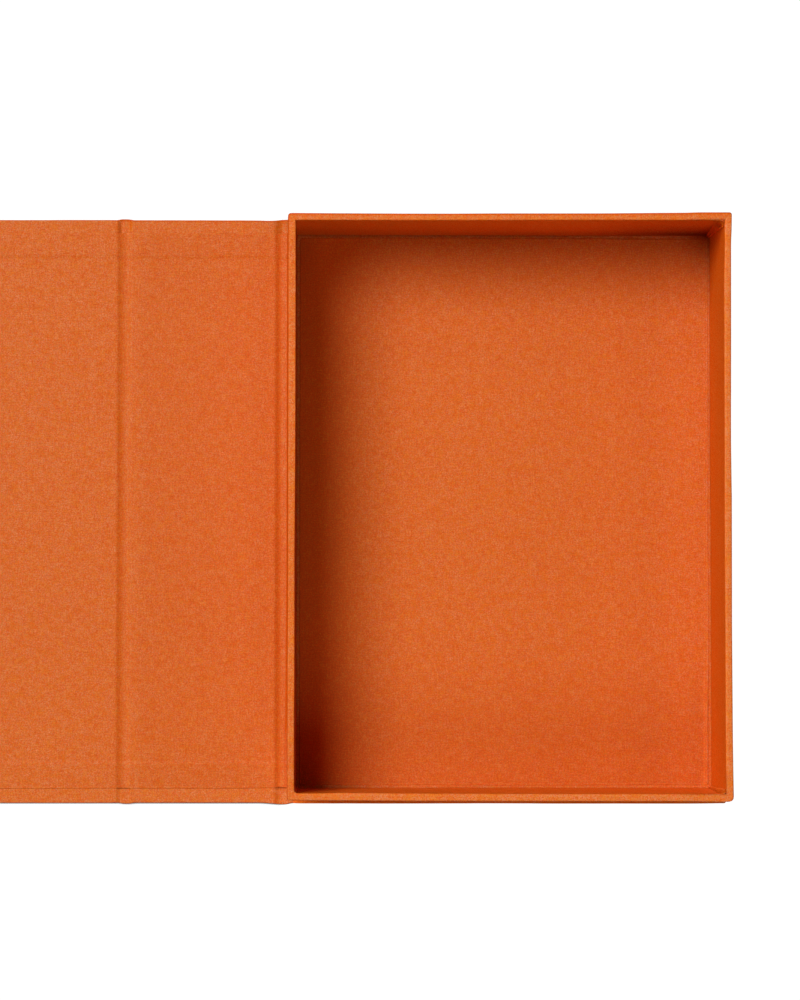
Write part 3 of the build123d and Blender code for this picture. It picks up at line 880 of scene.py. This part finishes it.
def lining(xs, ys, left=False, tab=None, shade=0.0):
    """A pasted lining. Its cut edges at head and tail, and at the fore edge if left, stand a little proud."""
    c = Cloth()
    X, Y = np.meshgrid(xs, ys, indexing="ij")
    Z = lined_top(X) + over_turn_in(X, Y, left) + undulate(X, Y, 200)
    # glue holds the very edge down, and it curls up just inside
    to_head, to_tail = LIN_HEAD - Y, Y - LIN_TAIL
    to_edge = np.minimum(to_head, to_tail)
    if left:
        to_edge = np.minimum(to_edge, X - LIN_LEFT)
    # across a joint it bridges the groove, and its cut edge stands clear of the cloth below
    over = np.clip((top_z - lined_top(X)) / 0.9, 0, 1)
    Z = Z + over * (0.22 * smooth(1 - to_tail / 5) + 0.10 * smooth(1 - to_head / 4))
    lip = bump(to_edge, 0.55, 0.75)
    Z = Z + 0.055 * lip - 0.10 * np.clip(1 - to_edge / 0.3, 0, 1)
    T = 0.030 * bump(to_tail, 0.6, 0.9) + (0.02 + 0.07 * over) * bump(to_head, 0.4, 0.8)
    # a painted shade under the tail cut, deepest where it bridges the joints
    T = T - (0.14 + 0.10 * over) * np.clip(1 - to_tail / 0.3, 0, 1) - 0.35 * over * np.clip(1 - to_tail / 0.7, 0, 1)
    T = T - 0.22 * tail_cut_shade(X) * np.clip(1 - to_tail / 0.9, 0, 1)
    # painted light and shade on the ramps over the turn-ins' ends: lighter at the tail, darker at the head
    ridge = bump(Y, RIDGE_TAIL - 0.3, 2.0)
    T = T + 0.010 * ridge - 0.012 * bump(Y, RIDGE_HEAD, 2.2)
    T = T + 0.025 * smooth((-Y - 60) / 80)
    # painted shade in the joints' grooves and beside the tray's foot, and below it the deeper colour of shade there;
    # the spine and the base joint a little deeper in colour
    T = T - 0.095 * bump(X, cover_x2 + 0.45, 1.7) - 0.045 * bump(X, cover_x2 + 3.3, 1.5)
    T = T - 0.115 * bump(X, spine_x2 + 0.85, 2.0) - 0.13 * smooth((X - (back_x1 - 2.0)) / 0.5)
    K = -0.55 * smooth((X - (back_x1 - 2.5)) / 0.6) - 0.07 * smooth((X - SEAM_SPINE_L) / 8) - 0.05 * smooth((X - spine_x2) / 3)
    K = K - 0.12 * bump(X, cover_x2 + 1.9, 4.5) - 0.10 * bump(X, spine_x2 + 1.5, 3.5)
    # a painted shade line beside the foot of the tray, further off towards the tail
    beside = np.interp(Y, [-141, -119, -97, -75, -52, -20], [-126.5, -126.0, -125.75, -125.7, -125.4, -125.2])
    foot_shade = bump(X, beside, 0.85) * (1 - 0.6 * smooth((-Y - 120) / 20))
    T, K = T - 0.12 * foot_shade, K - 1.2 * foot_shade
    if shade:
        T = T + shade * smooth((X - SEAM_SPINE_L) / 5) * smooth((SEAM_SPINE_R - X) / 5)
    # the cut edges wander
    near_h, near_t = np.clip(1 - to_head / 4, 0, 1), np.clip(1 - to_tail / 4, 0, 1)
    Yw = Y + near_h * cut_line("head", X) + near_t * cut_line("tail", X)
    Xw = X
    if left:
        Xw = X + np.clip(1 - (X - LIN_LEFT) / 4, 0, 1) * cut_line("left", Y)
    P = np.stack([Xw, Yw, Z], -1)
    UV = np.stack([X, Y], -1)
    keep = None
    if tab is not None:
        wall_x = tab
        mx, my = (xs[:-1] + xs[1:]) / 2, (ys[:-1] + ys[1:]) / 2
        keep = ~((mx[:, None] > wall_x) & (np.abs(my)[None, :] > 145.0))
        # under the tray it lies flat on the board
        inside = X > wall_x - 1e-6
        P[..., 2] = np.where(inside, top_z - 0.03, P[..., 2])
    c.grid(P, UV, T, keep=keep, K=K)
    return c


lin_ys = lining_rows(LIN_TAIL, LIN_HEAD)
cover_lin_cols = np.concatenate([
    LIN_LEFT + np.array([0.0, 0.16, 0.34, 0.6, 1.0, 1.7, 2.8, 5.5, 9.0]),
    RIDGE_LEFT + np.arange(-2.4, 2.41, 0.6),
    spaced(RIDGE_LEFT + 5.0, SEAM_COVER, 4.0, (0.5, 1.5)),
])
spine_lin = lining(spaced(SEAM_SPINE_L, SEAM_SPINE_R, 4.0, (0.5, 1.5)), lin_ys, shade=-0.035)
cover_lin = lining(cover_lin_cols, lin_ys, left=True)
cover_joint_lin = lining(cover_cols, lin_ys)
WALL_FOOT = back_x1 - 0.06
base_lin_cols = np.concatenate([
    np.linspace(SEAM_SPINE_R, WALL_FOOT, 30),
    WALL_FOOT + np.array([1.0, 5.0, 10.0, 15.0]),
])
base_joint_lin = lining(base_lin_cols, lin_ys, tab=WALL_FOOT)

# --------------------------------------------------------------------- tray
RIM_OUT, RIM_IN = 0.7, 0.62
tray_prof = [(15.0, foot_z), (9.0, foot_z), (4.0, foot_z), (1.6, foot_z)]
tray_prof += arc(0.5, foot_z + 0.5, 0.5, 270, 180, 4)
n_foot = len(tray_prof) - 1
for z in np.linspace(foot_z + 0.5, rim_z - RIM_OUT, 16)[1:-1]:
    tray_prof.append((0.0, float(z)))
tray_prof += arc(RIM_OUT, rim_z - RIM_OUT, RIM_OUT, 180, 90, 6)
n_rim = len(tray_prof)
for f in (0.25, 0.5, 0.75):
    tray_prof.append((RIM_OUT + (WALL - RIM_IN - RIM_OUT) * f, rim_z))
tray_prof += arc(WALL - RIM_IN, rim_z - RIM_IN, RIM_IN, 90, 0, 6)
n_in = len(tray_prof) - 1
for z in np.linspace(rim_z - RIM_IN, flange_z + 0.4, 18)[1:-1]:
    tray_prof.append((WALL, float(z)))
tray_prof += arc(WALL + 0.4, flange_z + 0.4, 0.4, 180, 270, 4)
tray_prof += [(WALL + 1.0, flange_z), (WALL + 2.2, flange_z), (WALL + 6.0, flange_z), (WALL + 15.0, flange_z)]


def tray_tones(profile):
    """The rims are lighter, their inner edges less so and their outer edges darker; painted shade darkens the feet of
    the walls inside.
    """
    out = []
    for k, (d, z) in enumerate(profile):
        t = 0.0
        if z > rim_z - RIM_OUT - 0.02 and d < RIM_OUT * 0.75:
            t = -0.18 + 0.32 * d / (RIM_OUT * 0.75)
        elif z > rim_z - 0.3:
            t = 0.15 + 0.03 * smooth((d - 1.8) / 1.4)
        elif d > WALL - 0.5 and z > rim_z - 1.2:
            t = 0.08
        if WALL - 0.01 < d < WALL + 0.5 and z < flange_z + 0.5:
            t = -0.12
        out.append(t)
    return out


def along_wall(table, at):
    return np.interp(at, [p[0] for p in table], [p[1] for p in table])


# how far the rims stand outside (+) or inside (-) their true lines, in mm: (place along the wall, amount).
# On the inside no more than 0.3 outwards: there the boards stand.
RIM_WARP = {
    "head": ([(-124, 0.1), (-118, 0.0), (-83, -0.15), (-61, -0.20), (-33, -0.18), (-5, 0.0), (50, 0.19), (78, 0.5), (99, 0.74),
              (105, 0.98), (112, 1.0), (124, 1.05)],
             [(-118, -0.36), (-40, -0.34), (0, -0.15), (60, 0.08), (86, 0.14), (124, 0.14)]),
    "tail": ([(-124, 0.0), (-118, 0.05), (-60, 0.35), (0, 0.5), (60, 0.5), (98, 0.55), (110, 0.75), (118, 0.95), (124, 0.8)],
             [(-118, -0.2), (-108, -0.2), (-94, -0.55), (-72, -0.32), (-40, -0.1), (40, 0.13), (66, 0.17), (124, 0.17)]),
    "right": ([(-164, 0.85), (-152, 0.6), (-130, 0.32), (-96, 0.1), (-60, 0.0), (-30, 0.05), (4, 0.08), (37, -0.28), (104, 0.0),
               (126, 0.05), (148, 0.10), (157, 0.55), (164, 0.6)],
              [(-164, 0.22), (-152, 0.22), (-146, 0.1), (-125, -0.06), (-63, -0.11), (-30, -0.26), (4, -0.32), (37, -0.22), (126, -0.22),
               (142, 0.15), (164, 0.2)]),
    "left": ([(-164, 0.5), (-120, 0.5), (-40, 0.42), (100, 0.42), (164, 0.5)],
             [(-164, 0.17), (-120, 0.17), (-96, 0.0), (-63, 0.0), (-30, 0.05), (4, -0.2), (37, -0.37), (126, -0.40), (164, -0.25)]),
}


def rim_warp(x, y, z, d):
    """Leans of the walls' tops, as a shift in x and y. It depends on the place alone, so that corners stay whole."""
    up = np.clip((z - foot_z) / (rim_z - foot_z), 0, 1) ** 1.3
    f = np.clip((d - 0.4) / (WALL - 0.8), 0, 1)
    shift = [0.0, 0.0]
    for side, axis, sign, near in (("head", 1, 1, y - (out_y2 - 9)), ("tail", 1, -1, (out_y1 + 9) - y),
                                   ("right", 0, 1, x - (out_x2 - 9)), ("left", 0, -1, (out_x1 + 9) - x)):
        at = x if axis == 1 else y
        outer, inner = RIM_WARP[side]
        amount = along_wall(outer, at) * (1 - f) + along_wall(inner, at) * f
        shift[axis] = shift[axis] + sign * amount * smooth(near / 5) * up
    # the fore-edge wall's foot stands in a little towards the head
    shift[0] = shift[0] - 0.45 * f * (1 - up) ** 2 * smooth((x - (out_x2 - 9)) / 5) * smooth((y + 10) / 40) * smooth((z - flange_z + 0.2) / 0.5)
    # cloth bridges the inside corner at the tail end of the spine-side wall
    r = 2.2
    a, b = x - (out_x1 + WALL), y - (out_y1 + WALL)
    w = np.clip(1 - np.abs(a) / r, 0, 1) * np.clip(1 - np.abs(b) / r, 0, 1) * (d > WALL - 1.5)
    shift[0] = shift[0] + 0.30 * r * w**2
    shift[1] = shift[1] + 0.30 * r * w**2
    # two of the outside corners are knocked round
    for cx, cy, sx, sy, by in ((out_x2, out_y1, -1, 1, 0.55), (out_x1, out_y2, 1, -1, 0.26)):
        w = np.clip(1 - np.abs(x - cx) / 2.6, 0, 1) * np.clip(1 - np.abs(y - cy) / 2.6, 0, 1) * (d < 1.6) * up**2
        shift[0] = shift[0] + sx * by * w
        shift[1] = shift[1] + sy * by * w
    return shift


def tray_move(P, T, side, prof, S):
    x, y, z = P[..., 0].copy(), P[..., 1].copy(), P[..., 2].copy()
    along = x if side in ("head", "tail") else y
    d = prof[:, 0][:, None]
    half = out_x2 if side in ("head", "tail") else out_y2
    # the walls bow very slightly between the corners
    mid = 1 - (along / half) ** 2
    zz = np.clip((z - foot_z) / (rim_z - foot_z), 0, 1)
    seed = {"tail": 300, "right": 320, "head": 340, "left": 360}[side]
    bow = (0.10 * mid * zz + 0.05 * wave(along, z, 60.0, seed) * np.clip((half - np.abs(along)) / 10, 0, 1)) * zz
    skin = undulate(along, z, seed + 5) * 1.2 * np.clip((half - np.abs(along)) / 6, 0, 1)
    outer = (d < 0.3)
    inner = (np.abs(d - WALL) < 0.05) & (z > flange_z + 0.5)
    push = bow * 0.8 + np.where(outer, skin, 0) - np.where(inner, skin, 0)
    low = np.clip((z - foot_z - 1.0) / 6.0, 0, 1)
    push = push * low
    if side == "tail":
        P[..., 1] = y - push
    elif side == "head":
        P[..., 1] = y + push
    elif side == "left":
        P[..., 0] = x - push
    else:
        P[..., 0] = x + push
    # the rim: crowned over the board's edge, and not quite level
    crown = np.clip((d - 0.3) / (WALL - 0.6), 0, 1)
    crown = 0.045 * 4 * crown * (1 - crown)
    on_rim = np.clip((z - (rim_z - 0.9)) / 0.9, 0, 1)
    P[..., 2] = z + on_rim * (crown + 0.05 * wave(along, 0 * along, 31.0, seed + 9) + 0.02 * wave(along, 0 * along, 8.0, seed + 10)) * np.clip((half - np.abs(along)) / 5, 0, 1)
    T = T + 0.02 * on_rim * wave(along, d * np.ones_like(along), 9.0, seed + 12)
    # creases along the rims' mitres
    for col, k in ((0, 1.0), (-1, 1.0), (1, 0.35), (-2, 0.35)):
        T[:, col] = T[:, col] - 0.20 * k * on_rim[:, col]
        P[:, col, 2] = P[:, col, 2] - 0.07 * k * on_rim[:, col]
    # where the rims' inner edges are turned under most
    turned = np.clip((d - (WALL - 0.8)) / 0.4, 0, 1) * on_rim
    if side == "head":
        T = T - 0.42 * turned * smooth((x - 97) / 8)
    elif side == "tail":
        T = T - 0.36 * turned * smooth((x - 88) / 16)
    elif side == "right":
        T = T - 0.36 * turned * smooth((-y - 147) / 5)
    K = np.zeros_like(T)
    edge_top = smooth((0.62 - d) / 0.25) * smooth((z - (rim_z - 1.2)) / 0.6)
    if side == "head":
        edge_top = smooth((0.95 - d) / 0.3) * smooth((z - (rim_z - 1.2)) / 0.6)
        T, K = T - 0.02 * edge_top, K - 0.95 * edge_top
    elif side == "tail":
        T, K = T + 0.24 * edge_top * smooth((along + 20) / 90), K + 0.10 * on_rim * (d > 0.5) + 0.10 * inner
        T, K = T + 0.05 * inner * smooth((along - 109) / 9), K + 0.55 * inner * smooth((along - 109) / 9)
    elif side == "right":
        T, K = T + 0.07 * edge_top, K + 0.08 * on_rim * (d > 0.5) - 0.12 * inner
    else:
        # a painted shade line along the outer top edge of the spine-side wall, fainter towards the tail
        line = edge_top * (1 - 0.6 * smooth((-y - 50) / 40))
        T, K = T - 0.12 * line, K - 1.4 * line
    # inside walls, painted light and shade: the head wall lighter near its top and towards the spine side, darker
    # towards the fore edge and low down, with painted shade at its foot; the fore-edge and tail walls lighter all over,
    # with a painted shadow of the spine-side wall on the tail wall near their corner; the spine-side wall darker
    # inside, away from the lamp, with painted shade at its foot and along its outer top edge, and its outer face a
    # little darker
    wall = inner * 1.0
    foot = (d > WALL - 0.01) & (z < flange_z + 0.5) & (d < WALL + 0.5)
    if side == "head":
        T = T + wall * (-0.12 + 0.36 * smooth((zz - 0.1) / 0.85)) - 0.16 * foot
        T = T + wall * (0.10 * smooth((75 - x) / 50) - smooth((x - 40) / 72) * (0.52 - 0.34 * smooth((zz - 0.1) / 0.75)))
        T = T - wall * 0.12 * smooth((x + 60) / 70) * smooth((0.42 - zz) / 0.3)
    elif side == "right":
        T = T + wall * 0.15 + 0.05 * on_rim + 0.05 * on_rim * smooth((d - 2.0) / 0.8) + 0.10 * np.clip(1 - d / 0.35, 0, 1) * on_rim
    elif side == "tail":
        T = T + wall * (0.28 - smooth((-84 - x) / 26) * (0.50 - 0.22 * zz)) + 0.06 * on_rim
    elif side == "left":
        T = T - 0.06 * outer - 0.13 * np.clip(1 - d / 0.35, 0, 1) * smooth((z - (rim_z - 2.0)) / 1.2) - 0.10 * foot - 0.28 * wall
    dx, dy = rim_warp(x, y, z, d)
    P[..., 0] = P[..., 0] + dx
    P[..., 1] = P[..., 1] + dy
    return P, T, K


def corner_lap(cloth, end, width):
    """At an inside corner of the fore-edge wall, the end wall's cloth laps onto it and was cut by hand. end is 1 at the head, -1 at the tail; width is the lap's at the rim."""
    x_in, y_in = out_x2 - WALL, end * (out_y2 - WALL)
    zs = np.arange(flange_z + 0.35, rim_z - 0.45, 0.55)
    t = (rim_z - zs) / (rim_z - flange_z)
    jag = 0.22 * wave(zs, 0 * zs, 1.3, 700 + end) + 0.20 * wave(zs, 0 * zs, 4.7, 710 + end)
    w = np.maximum(width * (1 - t) * 0.97 + 0.30 + jag, 0.30)
    w = 0.45 + (w - 0.45) * smooth((rim_z - 0.7 - zs) / 3.2)
    dx, dy = rim_warp(np.full_like(zs, x_in), np.full_like(zs, y_in), zs, np.full_like(zs, WALL))
    rows_p, rows_t = [], []
    for k, z in enumerate(zs):
        wk = float(w[k])
        reach = 0.5 + 1.5 * wk
        line = [(-reach - 0.8, 0.10, 0.0), (-reach, -0.02, 0.0)]
        for f in (0.25, 0.5, 0.75):
            line.append((-reach + (reach - 0.30) * f, -wk * f * f, 0.0))
        line += [(-0.72, -wk * 0.86, 0.15), (-0.40, -wk + 0.12, 0.70), (-0.35, -wk - 0.06, 1.0), (-0.31, -wk - 0.34, 1.0), (-0.22, -wk - 0.56, 0.7)]
        shine = (0.72 + 0.55 * float(wave(z, 0.0, 1.1, 720))) * float(smooth((rim_z - 2.2 - z) / 2.6)) * (0.72 if end > 0 else 0.60)
        # a painted shade over the lap's upper part, in the corner
        lap_shade = -0.18 * float(smooth((z - (rim_z - 30)) / 14)) * (1.0 if end > 0 else 0.3)
        rows_p.append([(x_in + a + dx[k], y_in + end * b + dy[k], z) for a, b, _ in line])
        rows_t.append([(lap_shade if i > 1 else 0.0) * (1 - c) + c * shine for i, (_, _, c) in enumerate(line)])
    P = np.array(rows_p, float)
    UV = np.stack([P[..., 0] + P[..., 1], P[..., 2] + 900.0], -1)
    T = np.array(rows_t, float)
    cloth.grid(P, UV, T, flip=end < 0, K=np.where(T > 0, T * (0.7 if end > 0 else 2.0), T * 0.8))


tray = Cloth()
rings(tray, out_x1, out_x2, out_y1, out_y2, 1.4, tray_prof, n_foot, 4.0, (0.3, 0.8, 1.6, 2.8),
      tone=tray_tones(tray_prof), move=tray_move, nc=3, flip=True)
corner_lap(tray, 1, 2.3)
corner_lap(tray, -1, 1.7)

# ------------------------------------------------------------- floor lining
def floor_sheet():
    """The flat sheet on the tray's floor. Its cut edges are frayed and stand a little proud of the cloth under them."""
    near = np.array([0.0, 0.14, 0.30, 0.55, 0.9, 1.5, 2.6])
    near_right = np.array([0.0, 0.14, 0.30, 0.55, 0.9, 1.2, 1.5, 1.8, 2.1, 2.4, 2.7, 3.1, 3.6])
    xs = np.concatenate([pan_x1 + near, spaced(pan_x1 + 4.5, pan_x2 - 4.5, 4.0), (pan_x2 - near_right)[::-1]])
    ys = np.concatenate([pan_y1 + near, spaced(pan_y1 + 4.5, pan_y2 - 4.5, 4.0), (pan_y2 - near)[::-1]])
    X, Y = np.meshgrid(xs, ys, indexing="ij")
    left, right, tail, head = X - pan_x1, pan_x2 - X, Y - pan_y1, pan_y2 - Y
    edge = np.minimum(np.minimum(left, right), np.minimum(tail, head))
    Z = pan_z + 1.2 * undulate(X, Y, 520) * smooth(edge / 8)
    Z = Z + 0.07 * bump(edge, 0.38, 0.6) - 0.05 * np.clip(1 - edge / 0.2, 0, 1)
    fray = 1 + 0.5 * wave(Y, 0 * Y, 1.4, 730)
    toward_tail = smooth((-Y - 80) / 30)
    T = 0.11 * (1 - toward_tail) * fray * bump(right, 0.10, 0.8) + 0.05 * bump(tail, 0.4, 0.8)
    T = T - 0.03 * bump(tail, 1.8, 0.9) + 0.05 * (1 - toward_tail) * fray * bump(right, 1.9, 0.8)
    # towards the tail, a painted shade at its edge by the foot of the wall and a faint darker band further in, with
    # light lines rubbed beside it
    T = T + toward_tail * (0.15 * fray * bump(right, 2.4, 0.8) + 0.10 * fray * bump(right, 1.1, 0.5)
                    - 0.10 * smooth((0.7 - right) / 0.3) - 0.06 * bump(right, 7, 8))
    # painted light in the spine-side wall's shadow, fading across the sheet
    T = T + 0.06 * bump(left, 14, 9) + 0.05 * bump(left, 30, 20) + 0.025 * bump(left, 100, 56)
    # the deeper colour of shade, with less lint, painted where the spine-side and head walls shade the sheet, and a
    # little towards the tail; paler towards the fore edge and at its fore-edge cut
    K = -0.035 - 0.50 * smooth((44 - left) / 34) - 0.10 * smooth((76 - left) / 40) + 0.06 * smooth((60 - right) / 60)
    K = K * (1 - 0.3 * smooth((12 - head) / 10)) + 0.30 * bump(right, 0.10, 0.8) - 0.09 * smooth((-Y - 80) / 50) - 0.13 * smooth((44 - head) / 30)
    T = T + 0.05 * smooth((2.4 - head) / 1.2)
    T = T - 0.22 * bump(left, 0.1, 0.5) - 0.06 * bump(head, 0.1, 0.5) - 0.03 * smooth(1 - left / 5)
    # painted light and shade: lighter in the spine-side wall's shadow, darker towards the head, the tail and the fore
    # edge, and darker again in the corners beside the spine-side wall
    T = T + 0.06 * bump(X, -103, 24) - 0.05 * bump(Y, 112, 50) - 0.06 * smooth((-Y - 80) / 60) - 0.05 * bump(X, 85, 28)
    T = T - 0.10 * smooth((-X - 98) / 18) * (smooth((Y - 118) / 34) + smooth((-Y - 115) / 34))
    # the cut wanders, and its corners are a little round
    def cut(at, k):
        return 0.14 * wave(at, 0 * at, 44.0, k) + 0.05 * wave(at, 0 * at, 5.0, k + 20)
    Xw = X - smooth(1 - left / 4) * cut(Y, 504) + smooth(1 - right / 4) * cut(Y, 502)
    Yw = Y - smooth(1 - tail / 4) * cut(X, 501) + smooth(1 - head / 4) * cut(X, 503)
    for ax, sx in ((left, 1), (right, -1)):
        for ay, sy in ((tail, 1), (head, -1)):
            near_corner = np.clip(1 - ax / 1.6, 0, 1) * np.clip(1 - ay / 1.6, 0, 1)
            Xw = Xw + sx * 0.35 * near_corner
            Yw = Yw + sy * 0.35 * near_corner
    c = Cloth()
    c.grid(np.stack([Xw, Yw, Z], -1), np.stack([X, Y], -1), T, K=K)
    return c


panel = floor_sheet()

# ------------------------------------------------------------------- pieces
pieces = {}


def inside_walls(c):
    """Faces of the walls' inner sides, below the rims' rounding."""
    x, y, z = c[:, 0], c[:, 1], c[:, 2]
    return ((x > out_x1 + 3.2) & (x < out_x2 - 3.2) & (y > out_y1 + 3.2) & (y < out_y2 - 3.2)
            & (z < rim_z - 0.6) & (z > flange_z + 0.25))


def piece(name, cloth, mat, body, nodes, blend=None, inside=None):
    o = make_piece(name, cloth, mat, inside=inside)
    if blend:
        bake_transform(o)
    else:
        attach(o, body)
    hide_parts(*nodes)
    pieces[name] = o
    return o


BASE_BEND = ("tray_base", "spine", (FOLD_1 / 1000, 0, 0), (spine_x2 / 1000, 0, 0))
COVER_BEND = ("spine", "cover", (FOLD_2 / 1000, 0, 0), (cover_x2 / 1000, 0, 0))

piece("cover_cloth_skin", cover, case_mat, "cover", ["cover_cloth"])
piece("back_cloth_skin", back, case_mat, "tray_base", ["back_cloth"])
piece("spine_cloth_skin", spine, case_mat, "spine", ["spine_cloth"])
piece("base_joint_cloth_skin", base_joint, case_mat, None, ["base_joint_cloth"],
      blend=BASE_BEND)
piece("cover_joint_cloth_skin", cover_joint, case_mat, None, ["cover_joint_cloth"],
      blend=COVER_BEND)
piece("cover_lining_sheet", cover_lin, lining_mat, "cover", ["cover_lining"])
piece("spine_lining_sheet", spine_lin, lining_mat, "spine", ["spine_lining"])
piece("base_joint_lining_sheet", base_joint_lin, lining_mat, None, ["base_joint_lining"],
      blend=BASE_BEND)
piece("cover_joint_lining_sheet", cover_joint_lin, lining_mat, None, ["cover_joint_lining"],
      blend=COVER_BEND)
piece("tray_wall_cloth_skin", tray, tray_mat, "tray_base", ["tray_wall_cloth"],
      inside=(shaded_wall_mat, inside_walls))
piece("floor_lining_skin", panel, panel_mat, "tray_base", ["floor_lining_cloth"])


# -------------------------------------------------------------------- stage
def floor_material():
    m, t = nodes_of("table")
    g = Graph(t)
    out = g.add("ShaderNodeOutputMaterial")
    seen = g.add("ShaderNodeEmission")
    lit = g.add("ShaderNodeBsdfDiffuse")
    lit.inputs["Color"].default_value = (0.80, 0.80, 0.80, 1.0)
    way = g.add("ShaderNodeLightPath")
    # a short contact shadow, on the side away from the lamp
    near = g.add("ShaderNodeAmbientOcclusion", samples=32, only_local=False)
    spot = g.add("ShaderNodeSeparateXYZ")
    g.link(g.add("ShaderNodeNewGeometry").outputs["Position"], spot.inputs[0])
    beside = g.spread(spot.outputs[0], -0.131, -0.121, 0.0026, 0.0004)
    g.link(g.math("MULTIPLY", beside, g.spread(spot.outputs[1], -0.1684, -0.1676, 1.0, 0.15)), near.inputs["Distance"])
    near.inputs["Normal"].default_value = (-0.10, 0.99, 0.08)
    shade = g.spread(near.outputs["AO"], 0.48, 0.76, 0.10, 1.06)
    g.link(shade, seen.inputs["Strength"])
    both = g.add("ShaderNodeMixShader")
    g.link(way.outputs["Is Camera Ray"], both.inputs[0])
    g.link(lit.outputs[0], both.inputs[1])
    g.link(seen.outputs[0], both.inputs[2])
    g.link(both.outputs[0], out.inputs[0])
    return m


size = 9.0
me = bpy.data.meshes.new("table")
me.from_pydata([(-size, -size, -0.0001), (size, -size, -0.0001), (size, size, -0.0001), (-size, size, -0.0001)], [], [(0, 1, 2, 3)])
me.materials.append(floor_material())
table = bpy.data.objects.new("table", me)
bpy.context.scene.collection.objects.link(table)

world = bpy.data.worlds.new("studio")
bpy.context.scene.world = world
world.use_nodes = True
wt = world.node_tree
wt.nodes.clear()
g = Graph(wt)
w_out = g.add("ShaderNodeOutputWorld")
seen = g.add("ShaderNodeBackground")
seen.inputs["Color"].default_value = (1.0, 1.0, 1.0, 1.0)
seen.inputs["Strength"].default_value = 1.12
fill = g.add("ShaderNodeBackground")
fill.inputs["Color"].default_value = (1.0, 0.78, 0.40, 1.0)
fill.inputs["Strength"].default_value = 0.085
way = g.add("ShaderNodeLightPath")
pick = g.add("ShaderNodeMixShader")
g.link(way.outputs["Is Camera Ray"], pick.inputs[0])
g.link(fill.outputs[0], pick.inputs[1])
g.link(seen.outputs[0], pick.inputs[2])
g.link(pick.outputs[0], w_out.inputs[0])

# one large soft box up to the left and towards the head, and a weak one across from it
LAMP_H = 6.0
LAMP_W_M2 = 88.9


def softbox(name, shape, centre, sizes, turn, share):
    lamp = bpy.data.lights.new(name, "AREA")
    lamp.shape = shape
    lamp.size, lamp.size_y = sizes
    area = sizes[0] * sizes[1] * (math.pi / 4 if shape == "ELLIPSE" else 1.0)
    lamp.energy = LAMP_W_M2 * area * share
    ob = bpy.data.objects.new(name, lamp)
    ob.location = (centre[0] * LAMP_H, centre[1] * LAMP_H, LAMP_H)
    ob.rotation_euler = (0.0, 0.0, turn)
    bpy.context.scene.collection.objects.link(ob)


softbox("key_light", "ELLIPSE", (-0.508, 0.349), (4.49, 3.49), math.radians(41.7), 0.452)
softbox("fill_light", "RECTANGLE", (0.175, -0.80), (1.5, 4.8), 0.0, 0.145)

bpy.context.scene.view_settings.view_transform = "Standard"
bpy.context.scene.view_settings.look = "None"

# ------------------------------------------------------------------- camera
CAM = (-0.09687965, -0.07566246, 2.14620250)
rx, ry, rz = 0.038325, -0.017185, 0.001241
R = (Matrix.Rotation(rx, 3, "X") @ Matrix.Rotation(ry, 3, "Y") @ Matrix.Rotation(rz, 3, "Z"))
cam = bpy.data.cameras.new("camera")
cam.sensor_width = 36.0
cam.lens = 133.1359
cam.clip_start, cam.clip_end = 0.05, 50.0
cam_ob = bpy.data.objects.new("camera", cam)
cam_ob.matrix_world = Matrix.Translation(CAM) @ R.to_4x4()
bpy.context.scene.collection.objects.link(cam_ob)
bpy.context.scene.camera = cam_ob

bpy.context.view_layer.update()
